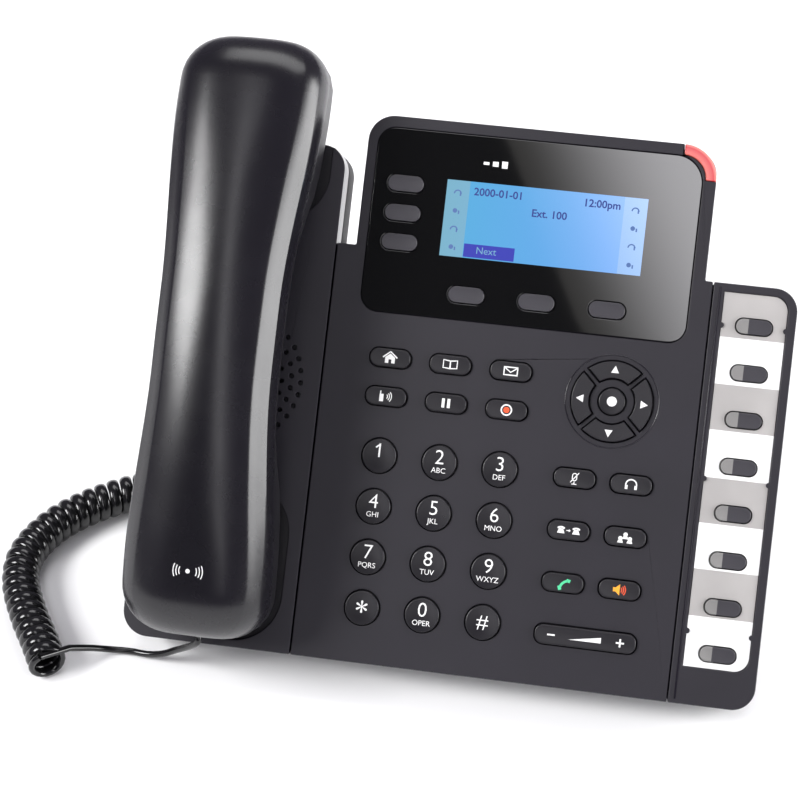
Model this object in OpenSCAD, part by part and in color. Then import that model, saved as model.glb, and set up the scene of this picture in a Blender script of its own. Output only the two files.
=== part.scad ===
/* [Body] */
// Width of the whole body
body_w = 220; // [216:1:230]
// Length of the key panel, measured up the sloping face
panel_len = 144; // [143:1:147]
// Length of the face from its bottom edge to the top of the display housing
face_len = 190; // [189:1:196]
// Depth of the three front covers
cover_depth = 11; // [10.5:0.5:13]
// Depth of the rear shell behind the covers
rear_depth = 14; // [12:0.5:18]
// Slope of the face from the desk, in degrees
tilt = 45; // [43:1:47]
// Wall of the shells
wall = 2.4; // [2:0.1:2.6]

/* [Cradle] */
// Length of the cradle module, measured up the face
cradle_len = 178; // [174:1:182]
// Depth of the two wells that hold the handset's ends
well_depth = 3.6; // [3:0.1:3.8]
// Travel of the hook switch
hook_travel = 3; // [2:0.5:3.5]

/* [Keys] */
// Travel of a key
key_travel = 1.2; // [0.8:0.1:1.3]
// Height of the key tops above the panel
key_rise = 1.3; // [1:0.1:1.8]
// Gap round every key
key_gap = 0.35; // [0.3:0.05:0.45]
// Sideways distance between two digit keys
pad_pitch_x = 21; // [20.5:0.1:21.2]
// Distance up the face between two digit keys
pad_pitch_y = 17.6; // [17.2:0.1:17.8]
// Diameter of a digit key
digit_d = 11.8; // [11.5:0.1:12.6]

/* [Handset] */
// Length of the handset
handset_len = 205; // [200:1:210]
// Width of the handset at its ends
handset_w = 51; // [48:0.5:52]
// Width of the handset at the grip
grip_w = 43; // [40:0.5:44]

/* [Hidden] */
KEY_NAMES = [
    "key_1", "key_2", "key_3", "key_4", "key_5", "key_6",
    "key_7", "key_8", "key_9", "key_star", "key_0", "key_hash"
];
UPPER_NAMES = [
    "home_key", "phonebook_key", "message_key",
    "intercom_key", "hold_key", "record_key"
];
LOWER_NAMES = [
    "mute_key", "headset_key", "transfer_key",
    "conference_key", "send_key", "speaker_key"
];
ARROW_NAMES = ["up_key", "left_key", "down_key", "right_key"];
SOFT_NAMES = ["soft_key_left", "soft_key_middle", "soft_key_right"];

$fn = 48;
eps = 0.01;
seam = 0.4;            // gap between two front covers
shell_gap = 0.3;       // gap between the covers and the rear shell
edge_r = 9;            // corner radius of the body's outline
body_depth = cover_depth + rear_depth;
foot_h = 2;
toe_cut = 4;           // how deep the desk plane cuts the bottom rear corner
setback = 68;          // puts the origin below the middle of the body
face_rise = body_depth * cos(tilt) + foot_h - toe_cut;

cradle_left = -body_w / 2;
cradle_right = -50;
side_left = 81;
side_right = body_w / 2;
housing_left = -43;
housing_right = 78;
lamp_r = 12;
lamp_band = 3.8;

// Parts that are stacked below the face
flange_top = -wall - 0.2;
flange_t = 1;
flange_rim = 0.9;
rocker_drop = 0.7;     // keeps the rocker's rim clear of the cover as it tips
pivot_z = -3.6;        // height of the rocker's pivot pin
dome_top = flange_top - flange_t - key_travel - 0.3;
mat_top = dome_top - 1.2;
mat_t = 1;
board_top = mat_top - mat_t;
board_t = 1.6;
floor_t = 2.2;

// Key layout, in face coordinates
pad_x = -5.5;
pad_top = 72;
upper_top = 106;
upper_pitch = 13.4;
function_size = [14, 6.2];
nav_at = [51, 99.5];
nav_inner_r = 8;
nav_outer_r = 13.8;
nav_rib = 1.5;
select_r = 4.5;
lower_pitch_x = 19.4;
lower_pitch_y = 18;
volume_at = [51, 18];
volume_size = [34.5, 6.6];
speed_x = 96;
speed_bottom = 18;
speed_pitch = 16;
speed_size = [12.1, 5.1];
speed_r = 2.45;
soft_at = [21.5, 130.4];
soft_pitch = 24.3;
line_at = [-28, 156.5];
line_pitch = 10.2;
slim_size = [12.4, 5.5];
window_at = [21, 156.5];
window_size = [69.5, 26.5];
lens_at = [17, 153.8];
lens_size = [112.5, 64];
lens_r = 6;
lens_lamp_r = 9.5;     // corner of the lens beside the lamp
lens_t = 1.2;
lens_bed = 1;
label_box = [84.9, 13, 106.7, 141];
label_r = 5;
label_recess = 0.9;

// Handset and cradle
handset_x = -81;
handset_y = 4;
end_r = 16;
cup_len = 46;
cup_bottom = -well_depth + 0.8;
grip_bottom = 24;
split_end = 14;
split_mid = 31;
crown_end = 34;
crown_mid = 47;
shell_t = 2.2;
rings = 30;
capsule_in = 24;       // from each end of the handset to its ear or mouth capsule
grille_at = [-79.2, 94];
jack_y = 86;
plug_size = [7.6, 11, 6.4];
plug_mouth = [plug_size[0] + 0.2, plug_size[2] + 0.2];
well_w = 52;
handset_jack_z = 7;
plug_proud = 0.3;
hook_at = [handset_x, 164, 0];
hook_stem = well_depth + floor_t + hook_travel + 1;
socket_depth = 15;
stand_w = 124;
stand_t = 3.2;
stand_top = 146;       // how far up the face the stand reaches
stand_foot = [66, 78]; // where its foot meets the desk, from front to back
keyhole_r = 4.2;
keyhole_slot = 9;
base_jack_x = -84;
screw_spots = [
    [-101, 9], [-101, 166], [-42, 6.4], [72, 6.4],
    [-37, 183], [66, 178], [96, 6.4], [104, 137.4]
];

// Cord, in the part's own frame
cord_d = 2.4;
coil_d = 13.8;
coil_route = [
    [-106, 13, 7], [-119, 10, 7], [-132, 3, 7], [-144, -7, 7], [-152, -18, 7],
    [-156, -31, 7], [-154, -44, 7], [-147, -58, 7], [-140, -69, 7], [-134, -79, 7]
];
handset_route = [
    [-134, -76, 9], [-128, -72, 9], [-122, -68, 5.5], [-116, -65, 2.4], [-109, -64, 1.6],
    [-102, -65, 2.4], [-96, -66, 5], [-91, -67, 9], [-86, -69.3, 14.3], [-82, -71.5, 19.5],
    [-81, -71.6, 21.7], [-81, -70.35, 22.95]
];
base_route = [
    [-109, 13, 7], [-100, 14, 5], [-92, 19, 4.5], [-85, 28, 12], [-82, 33, 26],
    [-82, 31, 40], [-83, 22, 50], [-84, 13.5, 55.8], [-84, 10.5, 58.8]
];

module in_face() {
    translate([0, -setback, face_rise]) rotate([tilt, 0, 0]) children();
}

// Flat shapes

module round_rect(size, r) {
    square([size[0] - 2 * r, size[1]], center = true);
    square([size[0], size[1] - 2 * r], center = true);
    for (sx = [-1, 1])
        for (sy = [-1, 1])
            translate([sx * (size[0] / 2 - r), sy * (size[1] / 2 - r)]) circle(r);
}

module box_between(low, high, r) {
    translate((low + high) / 2) round_rect(high - low, r);
}

module cradle_outline(inset = 0) {
    low = [cradle_left + inset, inset];
    high = [cradle_right - inset, cradle_len - inset];
    box_between(low, high, edge_r - inset);
    translate([high[0] - 2 * edge_r, low[1]]) square(2 * edge_r);
}

module housing_outline(inset = 0) {
    low = [housing_left + inset, panel_len - 24 + inset];
    high = [housing_right - inset, face_len - inset];
    box_between(low, high, edge_r - inset);
}

module main_outline(inset = 0) {
    left = cradle_right + seam;
    right = side_left - seam;
    translate([left + inset, inset])
        square([right - left - 2 * inset, panel_len - 2 * inset]);
    difference() {
        housing_outline(inset);
        translate([housing_right - lamp_r, face_len - lamp_r]) square(lamp_r + 1);
    }
    translate([housing_right - lamp_r, face_len - lamp_r])
        intersection() {
            circle(lamp_r - lamp_band - inset);
            square(lamp_r);
        }
}

module side_outline(inset = 0) {
    low = [side_left + inset, inset];
    high = [side_right - inset, panel_len - inset];
    box_between(low, high, 8 - inset);
    translate(low) square([12, high[1] - low[1]]);
}

module body_outline(inset = 0) {
    cradle_outline(inset);
    housing_outline(inset);
    side_outline(inset);
    translate([cradle_right - 2 * edge_r, inset])
        square([side_left - cradle_right + 30, panel_len - 2 * inset]);
}

module arrow_shape(grow = 0) {
    intersection() {
        difference() {
            circle(nav_outer_r + grow);
            circle(nav_inner_r - grow);
        }
        translate([0, (nav_rib / 2 + key_gap - grow) * sqrt(2)])
            polygon([[0, 0], [20, 20], [-20, 20]]);
    }
}

// Where the keys are

function digit_at(i) = [
    pad_x + (i % 3 - 1) * pad_pitch_x,
    pad_top - floor(i / 3) * pad_pitch_y
];
function upper_at(i) = [pad_x + (i % 3 - 1) * pad_pitch_x, upper_top - floor(i / 3) * upper_pitch];
function lower_at(i) = [
    nav_at[0] + (i % 2 - 0.5) * lower_pitch_x,
    pad_top - floor(i / 2) * lower_pitch_y
];
function soft_key_at(i) = soft_at + [(i - 1) * soft_pitch, 0];
function line_key_at(i) = line_at + [0, (i - 1) * line_pitch];
function speed_key_at(i) = [speed_x, speed_bottom + i * speed_pitch];

module main_key_shapes(grow) {
    for (i = [0:11]) translate(digit_at(i)) circle(digit_d / 2 + grow);
    for (i = [0:5]) translate(upper_at(i)) pill(function_size, grow, 2.8);
    for (i = [0:5]) translate(lower_at(i)) pill(function_size, grow, 2.8);
    translate(nav_at) {
        for (i = [0:3]) rotate(90 * i) arrow_shape(grow);
        circle(select_r + grow);
    }
    translate(volume_at) pill(volume_size, grow, 2.8);
}

module lens_shape(grow = 0) {
    low = lens_at - lens_size / 2 - [grow, grow];
    high = lens_at + lens_size / 2 + [grow, grow];
    r = lens_lamp_r + grow;
    difference() {
        box_between(low, high, lens_r + grow);
        translate(high - [r, r]) square(r + 1);
    }
    translate(high - [r, r])
        intersection() {
            circle(r);
            square(r + 1);
        }
}

module lens_key_shapes(grow) {
    for (i = [0:2]) {
        translate(soft_key_at(i)) pill(slim_size, grow, 2.7);
        translate(line_key_at(i)) pill(slim_size, grow, 2.7);
    }
}

module side_key_shapes(grow) {
    for (i = [0:7]) translate(speed_key_at(i)) pill(speed_size, grow, speed_r);
}

module pill(size, grow, r) {
    round_rect([size[0] + 2 * grow, size[1] + 2 * grow], r + grow);
}

module screw_holes(spots, r) {
    for (at = spots) translate(at) circle(r);
}

// Covers

module cover_boss(at) {
    translate([at[0], at[1], -cover_depth])
        difference() {
            cylinder(r = 3.4, h = cover_depth - wall + eps);
            translate([0, 0, -eps]) cylinder(r = 1.6, h = cover_depth - wall - 1.5);
        }
}

module lower_well_shape(grow = 0) {
    translate([handset_x, handset_y + cup_len / 2 + 3])
        round_rect([well_w + 2 * grow, cup_len + 9 + 2 * grow], 17 + grow);
}

module upper_well_shape(grow = 0) {
    translate([handset_x, cradle_len + 4])
        round_rect([well_w + 2 * grow, 64 + 2 * grow], 17 + grow);
}

module grille_holes() {
    for (ring = [0:5]) {
        ring_r = 22.2 - 3.3 * ring;
        count = round(2 * PI * ring_r / 4.2);
        for (k = [0:count - 1])
            rotate((k + 0.5 * (ring % 2)) * 360 / count) translate([ring_r, 0]) circle(0.75, $fn = 16);
    }
}

module cradle_cover() {
    color([0.17, 0.165, 0.18]) in_face() difference() {
        union() {
            translate([0, 0, -wall]) linear_extrude(wall)
                difference() {
                    cradle_outline();
                    translate(grille_at) grille_holes();
                    lower_well_shape();
                    upper_well_shape();
                }
            translate([0, 0, -cover_depth]) linear_extrude(cover_depth - wall + eps)
                difference() {
                    cradle_outline();
                    cradle_outline(wall);
                }
            translate([0, 0, -well_depth - floor_t]) linear_extrude(well_depth + floor_t - eps)
                intersection() {
                    cradle_outline();
                    union() {
                        lower_well_shape(floor_t);
                        upper_well_shape(floor_t);
                    }
                }
            cover_boss([-101, 9]);
            cover_boss([-101, 166]);
        }
        translate([0, 0, -well_depth]) linear_extrude(well_depth + 1) lower_well_shape();
        translate([0, 0, -well_depth]) linear_extrude(well_depth + 1) upper_well_shape();
        translate(hook_at) translate([0, 0, -12]) cylinder(r = 3.3, h = 12);
    }
}

module main_cover() {
    color([0.2, 0.19, 0.21]) in_face() difference() {
        union() {
            translate([0, 0, -wall]) linear_extrude(wall)
                difference() {
                    main_outline();
                    main_key_shapes(key_gap);
                    lens_key_shapes(key_gap);
                    translate(window_at) square(window_size + [4, 4], center = true);
                }
            translate([0, 0, -cover_depth]) linear_extrude(cover_depth - wall + eps)
                difference() {
                    main_outline();
                    main_outline(wall);
                }
            for (i = [2:5]) cover_boss(screw_spots[i]);
        }
        translate([0, 0, -lens_bed]) linear_extrude(lens_bed + 1) lens_shape(0.2);
    }
}

module side_cover() {
    color([0.2, 0.19, 0.21]) in_face() difference() {
        union() {
            translate([0, 0, -wall]) linear_extrude(wall)
                difference() {
                    side_outline();
                    side_key_shapes(key_gap);
                }
            translate([0, 0, -cover_depth]) linear_extrude(cover_depth - wall + eps)
                difference() {
                    side_outline();
                    side_outline(wall);
                }
            cover_boss(screw_spots[6]);
            cover_boss(screw_spots[7]);
        }
        translate([0, 0, -label_recess]) linear_extrude(label_recess + 1) label_shape(0.2);
    }
}

module label_shape(grow = 0) {
    low = [label_box[0] - grow, label_box[1] - grow];
    high = [label_box[2] + grow, label_box[3] + grow];
    box_between(low, high, label_r);
    translate(low) square([2 * label_r, high[1] - low[1]]);
}

module label_strip() {
    color([0.85, 0.84, 0.83]) in_face()
        translate([0, 0, -label_recess + 0.05]) linear_extrude(0.3)
            difference() {
                label_shape();
                side_key_shapes(key_gap + 0.1);
            }
}

module display_lens() {
    color([0.05, 0.05, 0.055]) in_face()
        translate([0, 0, -lens_bed + 0.02]) linear_extrude(lens_t)
            difference() {
                lens_shape();
                lens_key_shapes(key_gap);
            }
}

module display_module() {
    color([0.42, 0.7, 0.93]) in_face() translate(window_at) {
        translate([0, 0, -lens_bed - 1.6]) linear_extrude(1.4) square(window_size + [3, 3], center = true);
        translate([0, 0, mat_top + 0.2]) linear_extrude(-lens_bed - 1.6 - mat_top - 0.2 + eps)
            square(window_size + [6, 0.6], center = true);
    }
}

module message_lamp() {
    color([0.85, 0.3, 0.32]) in_face()
        translate([housing_right - lamp_r, face_len - lamp_r, -cover_depth]) linear_extrude(cover_depth)
            intersection() {
                difference() {
                    circle(lamp_r);
                    circle(lamp_r - lamp_band + 0.1);
                }
                translate([0.1, 0.1]) square(lamp_r);
            }
}

// Rear shell, stand and what is fastened to them

module socket_cut(x, size) {
    translate([x, jack_y, -body_depth - 1])
        linear_extrude(wall + 2) square(size, center = true);
}

module keyhole(at) {
    translate([at[0], at[1], -body_depth - 1]) {
        cylinder(r = keyhole_r, h = wall + 2);
        translate([0, keyhole_slot, 0]) cylinder(r = keyhole_r / 2, h = wall + 2);
        translate([-keyhole_r / 2 + 0.1, 0, 0]) cube([keyhole_r - 0.2, keyhole_slot, wall + 2]);
    }
}

module rear_shell() {
    color([0.13, 0.13, 0.14]) difference() {
        in_face() difference() {
            union() {
                translate([0, 0, -body_depth]) linear_extrude(wall) body_outline();
                translate([0, 0, -body_depth]) linear_extrude(rear_depth - shell_gap)
                    difference() {
                        body_outline();
                        body_outline(wall);
                    }
                intersection() {
                    translate([0, 0, -body_depth]) linear_extrude(rear_depth - shell_gap) body_outline();
                    translate([cradle_left - 1, 0, -body_depth]) rotate([90, 0, 90])
                        linear_extrude(body_w + 2) polygon([[-1, -1], [13, -1], [-1, 13]]);
                }
                for (at = screw_spots) translate([at[0], at[1], -body_depth])
                    cylinder(r = 4.6, h = rear_depth - shell_gap);
            }
            for (at = screw_spots) translate([at[0], at[1], -body_depth - 1]) {
                cylinder(r = 1.7, h = body_depth);
                cylinder(r = 3.2, h = 9);
            }
            socket_cut(base_jack_x, [11.4, 9.4]);
            socket_cut(-64, [11.4, 9.4]);
            socket_cut(10, [16.4, 13.4]);
            socket_cut(30, [16.4, 13.4]);
            socket_cut(-14, [11.4, 11.4]);
            keyhole([-40, 34]);
            keyhole([40, 34]);
            vent_slots();
        }
        translate([cradle_left - 1, -setback - 60, foot_h - 60]) cube([body_w + 2, 200, 60]);
    }
}

module vent_slots() {
    for (i = [0:7])
        translate([grille_at[0] - 14 + 4 * i, 130, -body_depth - 1])
            linear_extrude(wall + 2) round_rect([2, 22], 0.9);
}

module socket(x, size, mouth) {
    translate([x, jack_y, -body_depth]) linear_extrude(socket_depth)
        difference() {
            square(size, center = true);
            square(mouth, center = true);
        }
    translate([x, jack_y, -body_depth + socket_depth - 2]) linear_extrude(2)
        square(size, center = true);
}

module power_socket(x) {
    translate([x, jack_y, -body_depth])
        difference() {
            linear_extrude(socket_depth) square(11, center = true);
            translate([0, 0, -1]) cylinder(r = 3.2, h = 10);
        }
    translate([x, jack_y, -body_depth + 1]) cylinder(r = 1, h = 9);
}

module jack_sockets() {
    color([0.1, 0.1, 0.1]) in_face() {
        socket(base_jack_x, [11, 9], plug_mouth);
        socket(-64, [11, 9], plug_mouth);
        socket(10, [16, 13], [11.8, 8.2]);
        socket(30, [16, 13], [11.8, 8.2]);
        power_socket(-14);
    }
}

module main_board() {
    color([0.1, 0.35, 0.2]) in_face() translate([0, 0, board_top - board_t]) linear_extrude(board_t)
        difference() {
            union() {
                translate([cradle_right + 4, 4]) square([side_right - cradle_right - 8, panel_len - 8]);
                translate([housing_left + 4, panel_len - 12])
                    square([housing_right - housing_left - 8, 44]);
            }
            screw_holes(screw_spots, 4.2);
            corner_relief();
        }
}

module corner_relief() {
    difference() {
        translate([side_right - 12, -1]) square([14, 14]);
        translate([side_right - 12, 12]) circle(7.6);
    }
    difference() {
        translate([side_right - 12, panel_len - 12]) square(14);
        translate([side_right - 12, panel_len - 12]) circle(7.6);
    }
    translate([side_left - 1.8 - wall, -1]) square([wall * 2 + 3.4, panel_len + 2]);
}

module keypad_mat() {
    color([0.75, 0.75, 0.72]) in_face() {
        translate([0, 0, board_top + 0.02]) linear_extrude(mat_t - 0.04)
            difference() {
                union() {
                    translate([cradle_right + 5, 5])
                        square([side_left - cradle_right - 13, panel_len - 10]);
                    translate([side_left + 4, 5]) square([side_right - side_left - 8, panel_len - 10]);
                    translate([housing_left + 5, panel_len - 12]) square([18, 40]);
                }
                screw_holes(screw_spots, 4.4);
                corner_relief();
            }
        for (i = [0:11]) dome(digit_at(i));
        for (i = [0:5]) dome(upper_at(i));
        for (i = [0:5]) dome(lower_at(i));
        for (i = [0:3]) dome(nav_at + 11.2 * [-sin(90 * i), cos(90 * i)]);
        dome(nav_at);
        for (i = [-1, 1]) dome(volume_at + [12 * i, 0]);
        for (i = [0:2]) {
            dome(soft_key_at(i));
            dome(line_key_at(i));
        }
        for (i = [0:7]) dome(speed_key_at(i));
    }
}

module dome(at) {
    translate([at[0], at[1], mat_top - 0.1]) cylinder(r = 2.4, h = dome_top - mat_top + 0.1, $fn = 24);
}

module loudspeaker() {
    under_grille = [grille_at[0], grille_at[1], -wall - 0.3];
    color([0.25, 0.25, 0.26]) in_face() translate(under_grille) rotate([180, 0, 0]) {
        difference() {
            cylinder(r = 24, h = 2.5);
            translate([0, 0, -eps]) cylinder(r1 = 21, r2 = 12, h = 1.6);
        }
        translate([0, 0, 2.4]) cylinder(r1 = 20, r2 = 13, h = 3.2);
        translate([0, 0, 5.5]) cylinder(r = 11, h = 1.4);
    }
}

module hook_switch() {
    color([0.12, 0.12, 0.12]) in_face() translate(hook_at) {
        translate([0, 0, -hook_stem]) cylinder(r = 3, h = hook_stem + cup_bottom - 0.45);
        translate([0, 0, -hook_stem - 2]) cylinder(r = 4.5, h = 2 + eps);
    }
}

// Side profiles of the stand, in the part's own frame
function rear_point(up) = [
    up * cos(tilt) + body_depth * sin(tilt) - setback,
    face_rise + up * sin(tilt) - body_depth * cos(tilt)
];

module stand_profile() {
    a = rear_point(100);
    b = rear_point(stand_top);
    out = [sin(tilt), -cos(tilt)] * (stand_t + 0.2);
    skin = [sin(tilt), -cos(tilt)] * 0.2;
    polygon([a + skin, b + skin, b + out, a + out]);
    polygon([b + skin, b + out * 2.2, [stand_foot[1], foot_h], [stand_foot[0], foot_h], b + out - [4, 6]]);
}

module desk_stand() {
    color([0.14, 0.14, 0.15]) {
        translate([-stand_w / 2, 0, 0]) rotate([90, 0, 90]) linear_extrude(stand_w) stand_profile();
        for (x = [-stand_w / 2, -1.5, stand_w / 2 - 3])
            translate([x, 0, 0]) rotate([90, 0, 90]) linear_extrude(3) stand_web();
    }
}

module stand_web() {
    b = rear_point(stand_top);
    out = [sin(tilt), -cos(tilt)] * (stand_t + 0.1);
    low = rear_point(116) + out;
    high = rear_point(stand_top - 3) + out;
    polygon([low, high, b - [2, 22], [stand_foot[0] + 2, 44]]);
}

module rubber_feet() {
    front_y = -setback + face_rise + 2.6;
    rear_y = (stand_foot[0] + stand_foot[1]) / 2;
    color([0.08, 0.08, 0.08]) {
        for (x = [-92, 92]) translate([x, front_y, 0]) cylinder(r = 3.4, h = foot_h);
        for (x = [-52, 52]) translate([x, rear_y, 0]) cylinder(r = 5, h = foot_h);
    }
}

module case_screws() {
    color([0.7, 0.7, 0.72]) in_face() for (at = screw_spots) translate([at[0], at[1], -body_depth]) {
        translate([0, 0, 5.7]) cylinder(r = 2.8, h = 2);
        translate([0, 0, 7.6]) cylinder(r = 1.4, h = 11);
    }
}

// Handset

function blend(t) = t <= 0 ? 0 : t >= 1 ? 1 : t * t * (3 - 2 * t);
function ring_at(i, inset) = inset + (handset_len - 2 * inset) * (1 - cos(180 * i / rings)) / 2;
function end_gap(y) = min(y, handset_len - y);
function arc_drop(gap, r) = gap >= r ? 0 : r - sqrt(max(0, r * r - (r - gap) * (r - gap)));
function arch(y) = sin(180 * y / handset_len);
function half_w(y, inset) =
    (handset_w - (handset_w - grip_w) * blend((end_gap(y) - 22) / 68)) / 2
    - arc_drop(end_gap(y) - inset, end_r - inset) - inset;
function split_z(y) = split_end + (split_mid - split_end) * arch(y);
function crown_z(y, inset) =
    crown_end + (crown_mid - crown_end) * arch(y)
    - arc_drop(end_gap(y) - inset, 15) - inset;
function belly_z(y, inset) =
    cup_bottom + (grip_bottom - cup_bottom) * blend((end_gap(y) - cup_len) / 26)
    + arc_drop(end_gap(y) - inset, 8) + inset;

function bend(v, power) = sign(v) * pow(abs(v), power);
function skirt_points(y, inset, skirt) = skirt == 0 ? [] : [
    [sign(skirt) * half_w(y, inset), y, split_z(y) - skirt],
    [-sign(skirt) * half_w(y, inset), y, split_z(y) - skirt]
];
function upper_ring(y, inset, skirt) = concat(
    [for (a = [180:-10:0]) [
        half_w(y, inset) * bend(cos(a), 0.72),
        y,
        split_z(y) + (crown_z(y, inset) - split_z(y)) * bend(sin(a), 0.8)
    ]],
    skirt_points(y, inset, skirt)
);
function lower_ring(y, inset, skirt) = concat(
    [for (a = [360:-10:180]) [
        half_w(y, inset) * bend(cos(a), 0.6),
        y,
        split_z(y) + (split_z(y) - belly_z(y, inset)) * bend(sin(a), 0.45)
    ]],
    skirt_points(y, inset, -skirt)
);

module loft(loops) {
    n = len(loops[0]);
    points = [for (loop = loops) for (p = loop) p];
    sides = [
        for (k = [0:len(loops) - 2])
            for (j = [0:n - 1])
                let (a = k * n + j, b = k * n + (j + 1) % n)
                    for (face = [[a, a + n, b], [b, a + n, b + n]]) face
    ];
    first = [for (j = [0:n - 1]) j];
    last = [for (j = [n - 1:-1:0]) (len(loops) - 1) * n + j];
    polyhedron(points, concat([first, last], sides));
}

module upper_half(inset, skirt) {
    loft([for (i = [0:rings]) upper_ring(ring_at(i, inset), inset, skirt)]);
}

module lower_half(inset, skirt) {
    loft([for (i = [0:rings]) lower_ring(ring_at(i, inset), inset, skirt)]);
}

module in_handset() {
    in_face() translate([handset_x, handset_y, 0]) children();
}

module handset_back() {
    color([0.16, 0.155, 0.17]) in_handset() difference() {
        upper_half(0, 0);
        upper_half(shell_t, 1);
    }
}

module handset_front() {
    color([0.12, 0.12, 0.13]) in_handset() translate([0, 0, -0.15]) difference() {
        lower_half(0, 0);
        lower_half(shell_t, 1);
        translate([0, -1, handset_jack_z]) rotate([-90, 0, 0])
            linear_extrude(8) square(plug_mouth, center = true);
        for (k = [0:5]) rotate_about_ear(60 * k) sound_hole();
        translate([0, capsule_in, 0]) sound_hole();
    }
}

module sound_hole() {
    translate([0, 0, cup_bottom - 1]) cylinder(r = 1.1, h = 5, $fn = 16);
}

module rotate_about_ear(a) {
    translate([7 * cos(a), handset_len - capsule_in + 7 * sin(a), 0]) children();
}

module earpiece() {
    seat = [0, handset_len - capsule_in, cup_bottom + shell_t + 0.7];
    color([0.3, 0.3, 0.31]) in_handset() translate(seat) {
        cylinder(r = 12, h = 3);
        translate([0, 0, 2.9]) cylinder(r = 9, h = 4);
    }
}

module microphone() {
    seat = [0, capsule_in, cup_bottom + shell_t + 0.3];
    color([0.6, 0.6, 0.6]) in_handset() translate(seat) cylinder(r = 4.8, h = 3.4);
}

module plug(length) {
    translate([0, 0, -length]) linear_extrude(length) square([plug_size[0], plug_size[2]], center = true);
}

module handset_plug() {
    color([0.8, 0.8, 0.82]) in_handset()
        translate([0, -plug_proud, handset_jack_z - 0.15]) rotate([90, 0, 0]) plug(plug_size[1]);
}

module base_plug() {
    color([0.8, 0.8, 0.82]) in_face()
        translate([base_jack_x, jack_y, -body_depth]) rotate([180, 0, 0]) plug(plug_size[1]);
}

// Cord

function unit(v) = v / norm(v);
function route_dir(route, i) =
    unit(route[min(i + 1, len(route) - 1)] - route[max(i - 1, 0)]);
function curve_point(route, i, t) =
    let (
        a = route[max(i - 1, 0)],
        b = route[i],
        c = route[i + 1],
        d = route[min(i + 2, len(route) - 1)]
    )
    0.5 * (2 * b + (c - a) * t + (2 * a - 5 * b + 4 * c - d) * t * t + (3 * b - 3 * c + d - a) * t * t * t);
function smooth(route, steps) = concat(
    [for (i = [0:len(route) - 2]) for (k = [0:steps - 1]) curve_point(route, i, k / steps)],
    [route[len(route) - 1]]
);
function tube_ring(center, dir, r, n) =
    let (
        u = unit(cross(dir, abs(dir[2]) > 0.9 ? [1, 0, 0] : [0, 0, 1])),
        v = cross(dir, u)
    )
    [for (k = [0:n - 1]) center + r * (u * cos(360 * k / n) + v * sin(360 * k / n))];

module tube(route, d, steps, n) {
    path = smooth(route, steps);
    loft([for (i = [0:len(path) - 1]) tube_ring(path[i], route_dir(path, i), d / 2, n)]);
}

module cord_coil() {
    color([0.06, 0.06, 0.065]) tube(coil_route, coil_d, 3, 12);
}

module cord_tails() {
    color([0.06, 0.06, 0.065]) {
        tube(handset_route, cord_d, 3, 8);
        tube(base_route, cord_d, 4, 8);
    }
}

// Keys

module key_from(at) {
    in_face() translate([at[0], at[1], 0]) children();
}

module digit_key(i) {
    color([0.13, 0.13, 0.14]) key_from(digit_at(i)) {
        translate([0, 0, flange_top - eps]) cylinder(d = digit_d, h = key_rise - 0.5 - flange_top);
        translate([0, 0, key_rise - 0.5 - 2 * eps])
            cylinder(r1 = digit_d / 2, r2 = digit_d / 2 - 0.9, h = 0.5);
        translate([0, 0, flange_top - flange_t]) cylinder(d = digit_d + 2 * flange_rim, h = flange_t);
    }
}

module pill_key(size, r, top) {
    translate([0, 0, flange_top - eps]) linear_extrude(top - flange_top) pill(size, 0, r);
    translate([0, 0, flange_top - flange_t]) linear_extrude(flange_t) pill(size, flange_rim, r);
}

module function_key(at) {
    color([0.13, 0.13, 0.14]) key_from(at) pill_key(function_size, 2.8, key_rise);
}

module arrow_key(i) {
    color([0.13, 0.13, 0.14]) key_from(nav_at) rotate(90 * i) {
        translate([0, 0, flange_top - eps]) linear_extrude(key_rise - flange_top) arrow_shape();
        translate([0, 0, flange_top - flange_t]) linear_extrude(flange_t) arrow_shape(key_gap + 0.3);
    }
}

module select_key() {
    color([0.13, 0.13, 0.14]) key_from(nav_at) {
        translate([0, 0, flange_top - eps]) cylinder(r = select_r, h = key_rise - flange_top);
        translate([0, 0, flange_top - flange_t]) cylinder(r = select_r + flange_rim, h = flange_t);
    }
}

module volume_rocker() {
    color([0.13, 0.13, 0.14]) key_from(volume_at) {
        translate([0, 0, flange_top - rocker_drop - eps])
            linear_extrude(key_rise + rocker_drop - flange_top) pill(volume_size, 0, 2.8);
        translate([0, 0, flange_top - flange_t - rocker_drop]) linear_extrude(flange_t)
            pill(volume_size, flange_rim, 2.8);
        translate([0, -5.6, pivot_z]) rotate([-90, 0, 0]) cylinder(r = 0.8, h = 11.2);
    }
}

module soft_key(i) {
    color([0.3, 0.29, 0.31]) key_from(soft_key_at(i)) pill_key(slim_size, 2.7, key_rise);
}

module key_strip(spread) {
    translate([-1.5, 0, flange_top - flange_t]) cube([3, spread, flange_t]);
}

module line_keys() {
    color([0.3, 0.29, 0.31]) {
        for (i = [0:2]) key_from(line_key_at(i)) pill_key(slim_size, 2.7, key_rise);
        key_from(line_key_at(0)) key_strip(2 * line_pitch);
    }
}

module speed_dial_keys(first) {
    color([0.18, 0.18, 0.19]) {
        for (i = [first:first + 3])
            key_from(speed_key_at(i)) pill_key(speed_size, speed_r, key_rise - label_recess);
        key_from(speed_key_at(first)) key_strip(3 * speed_pitch);
    }
}

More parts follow.
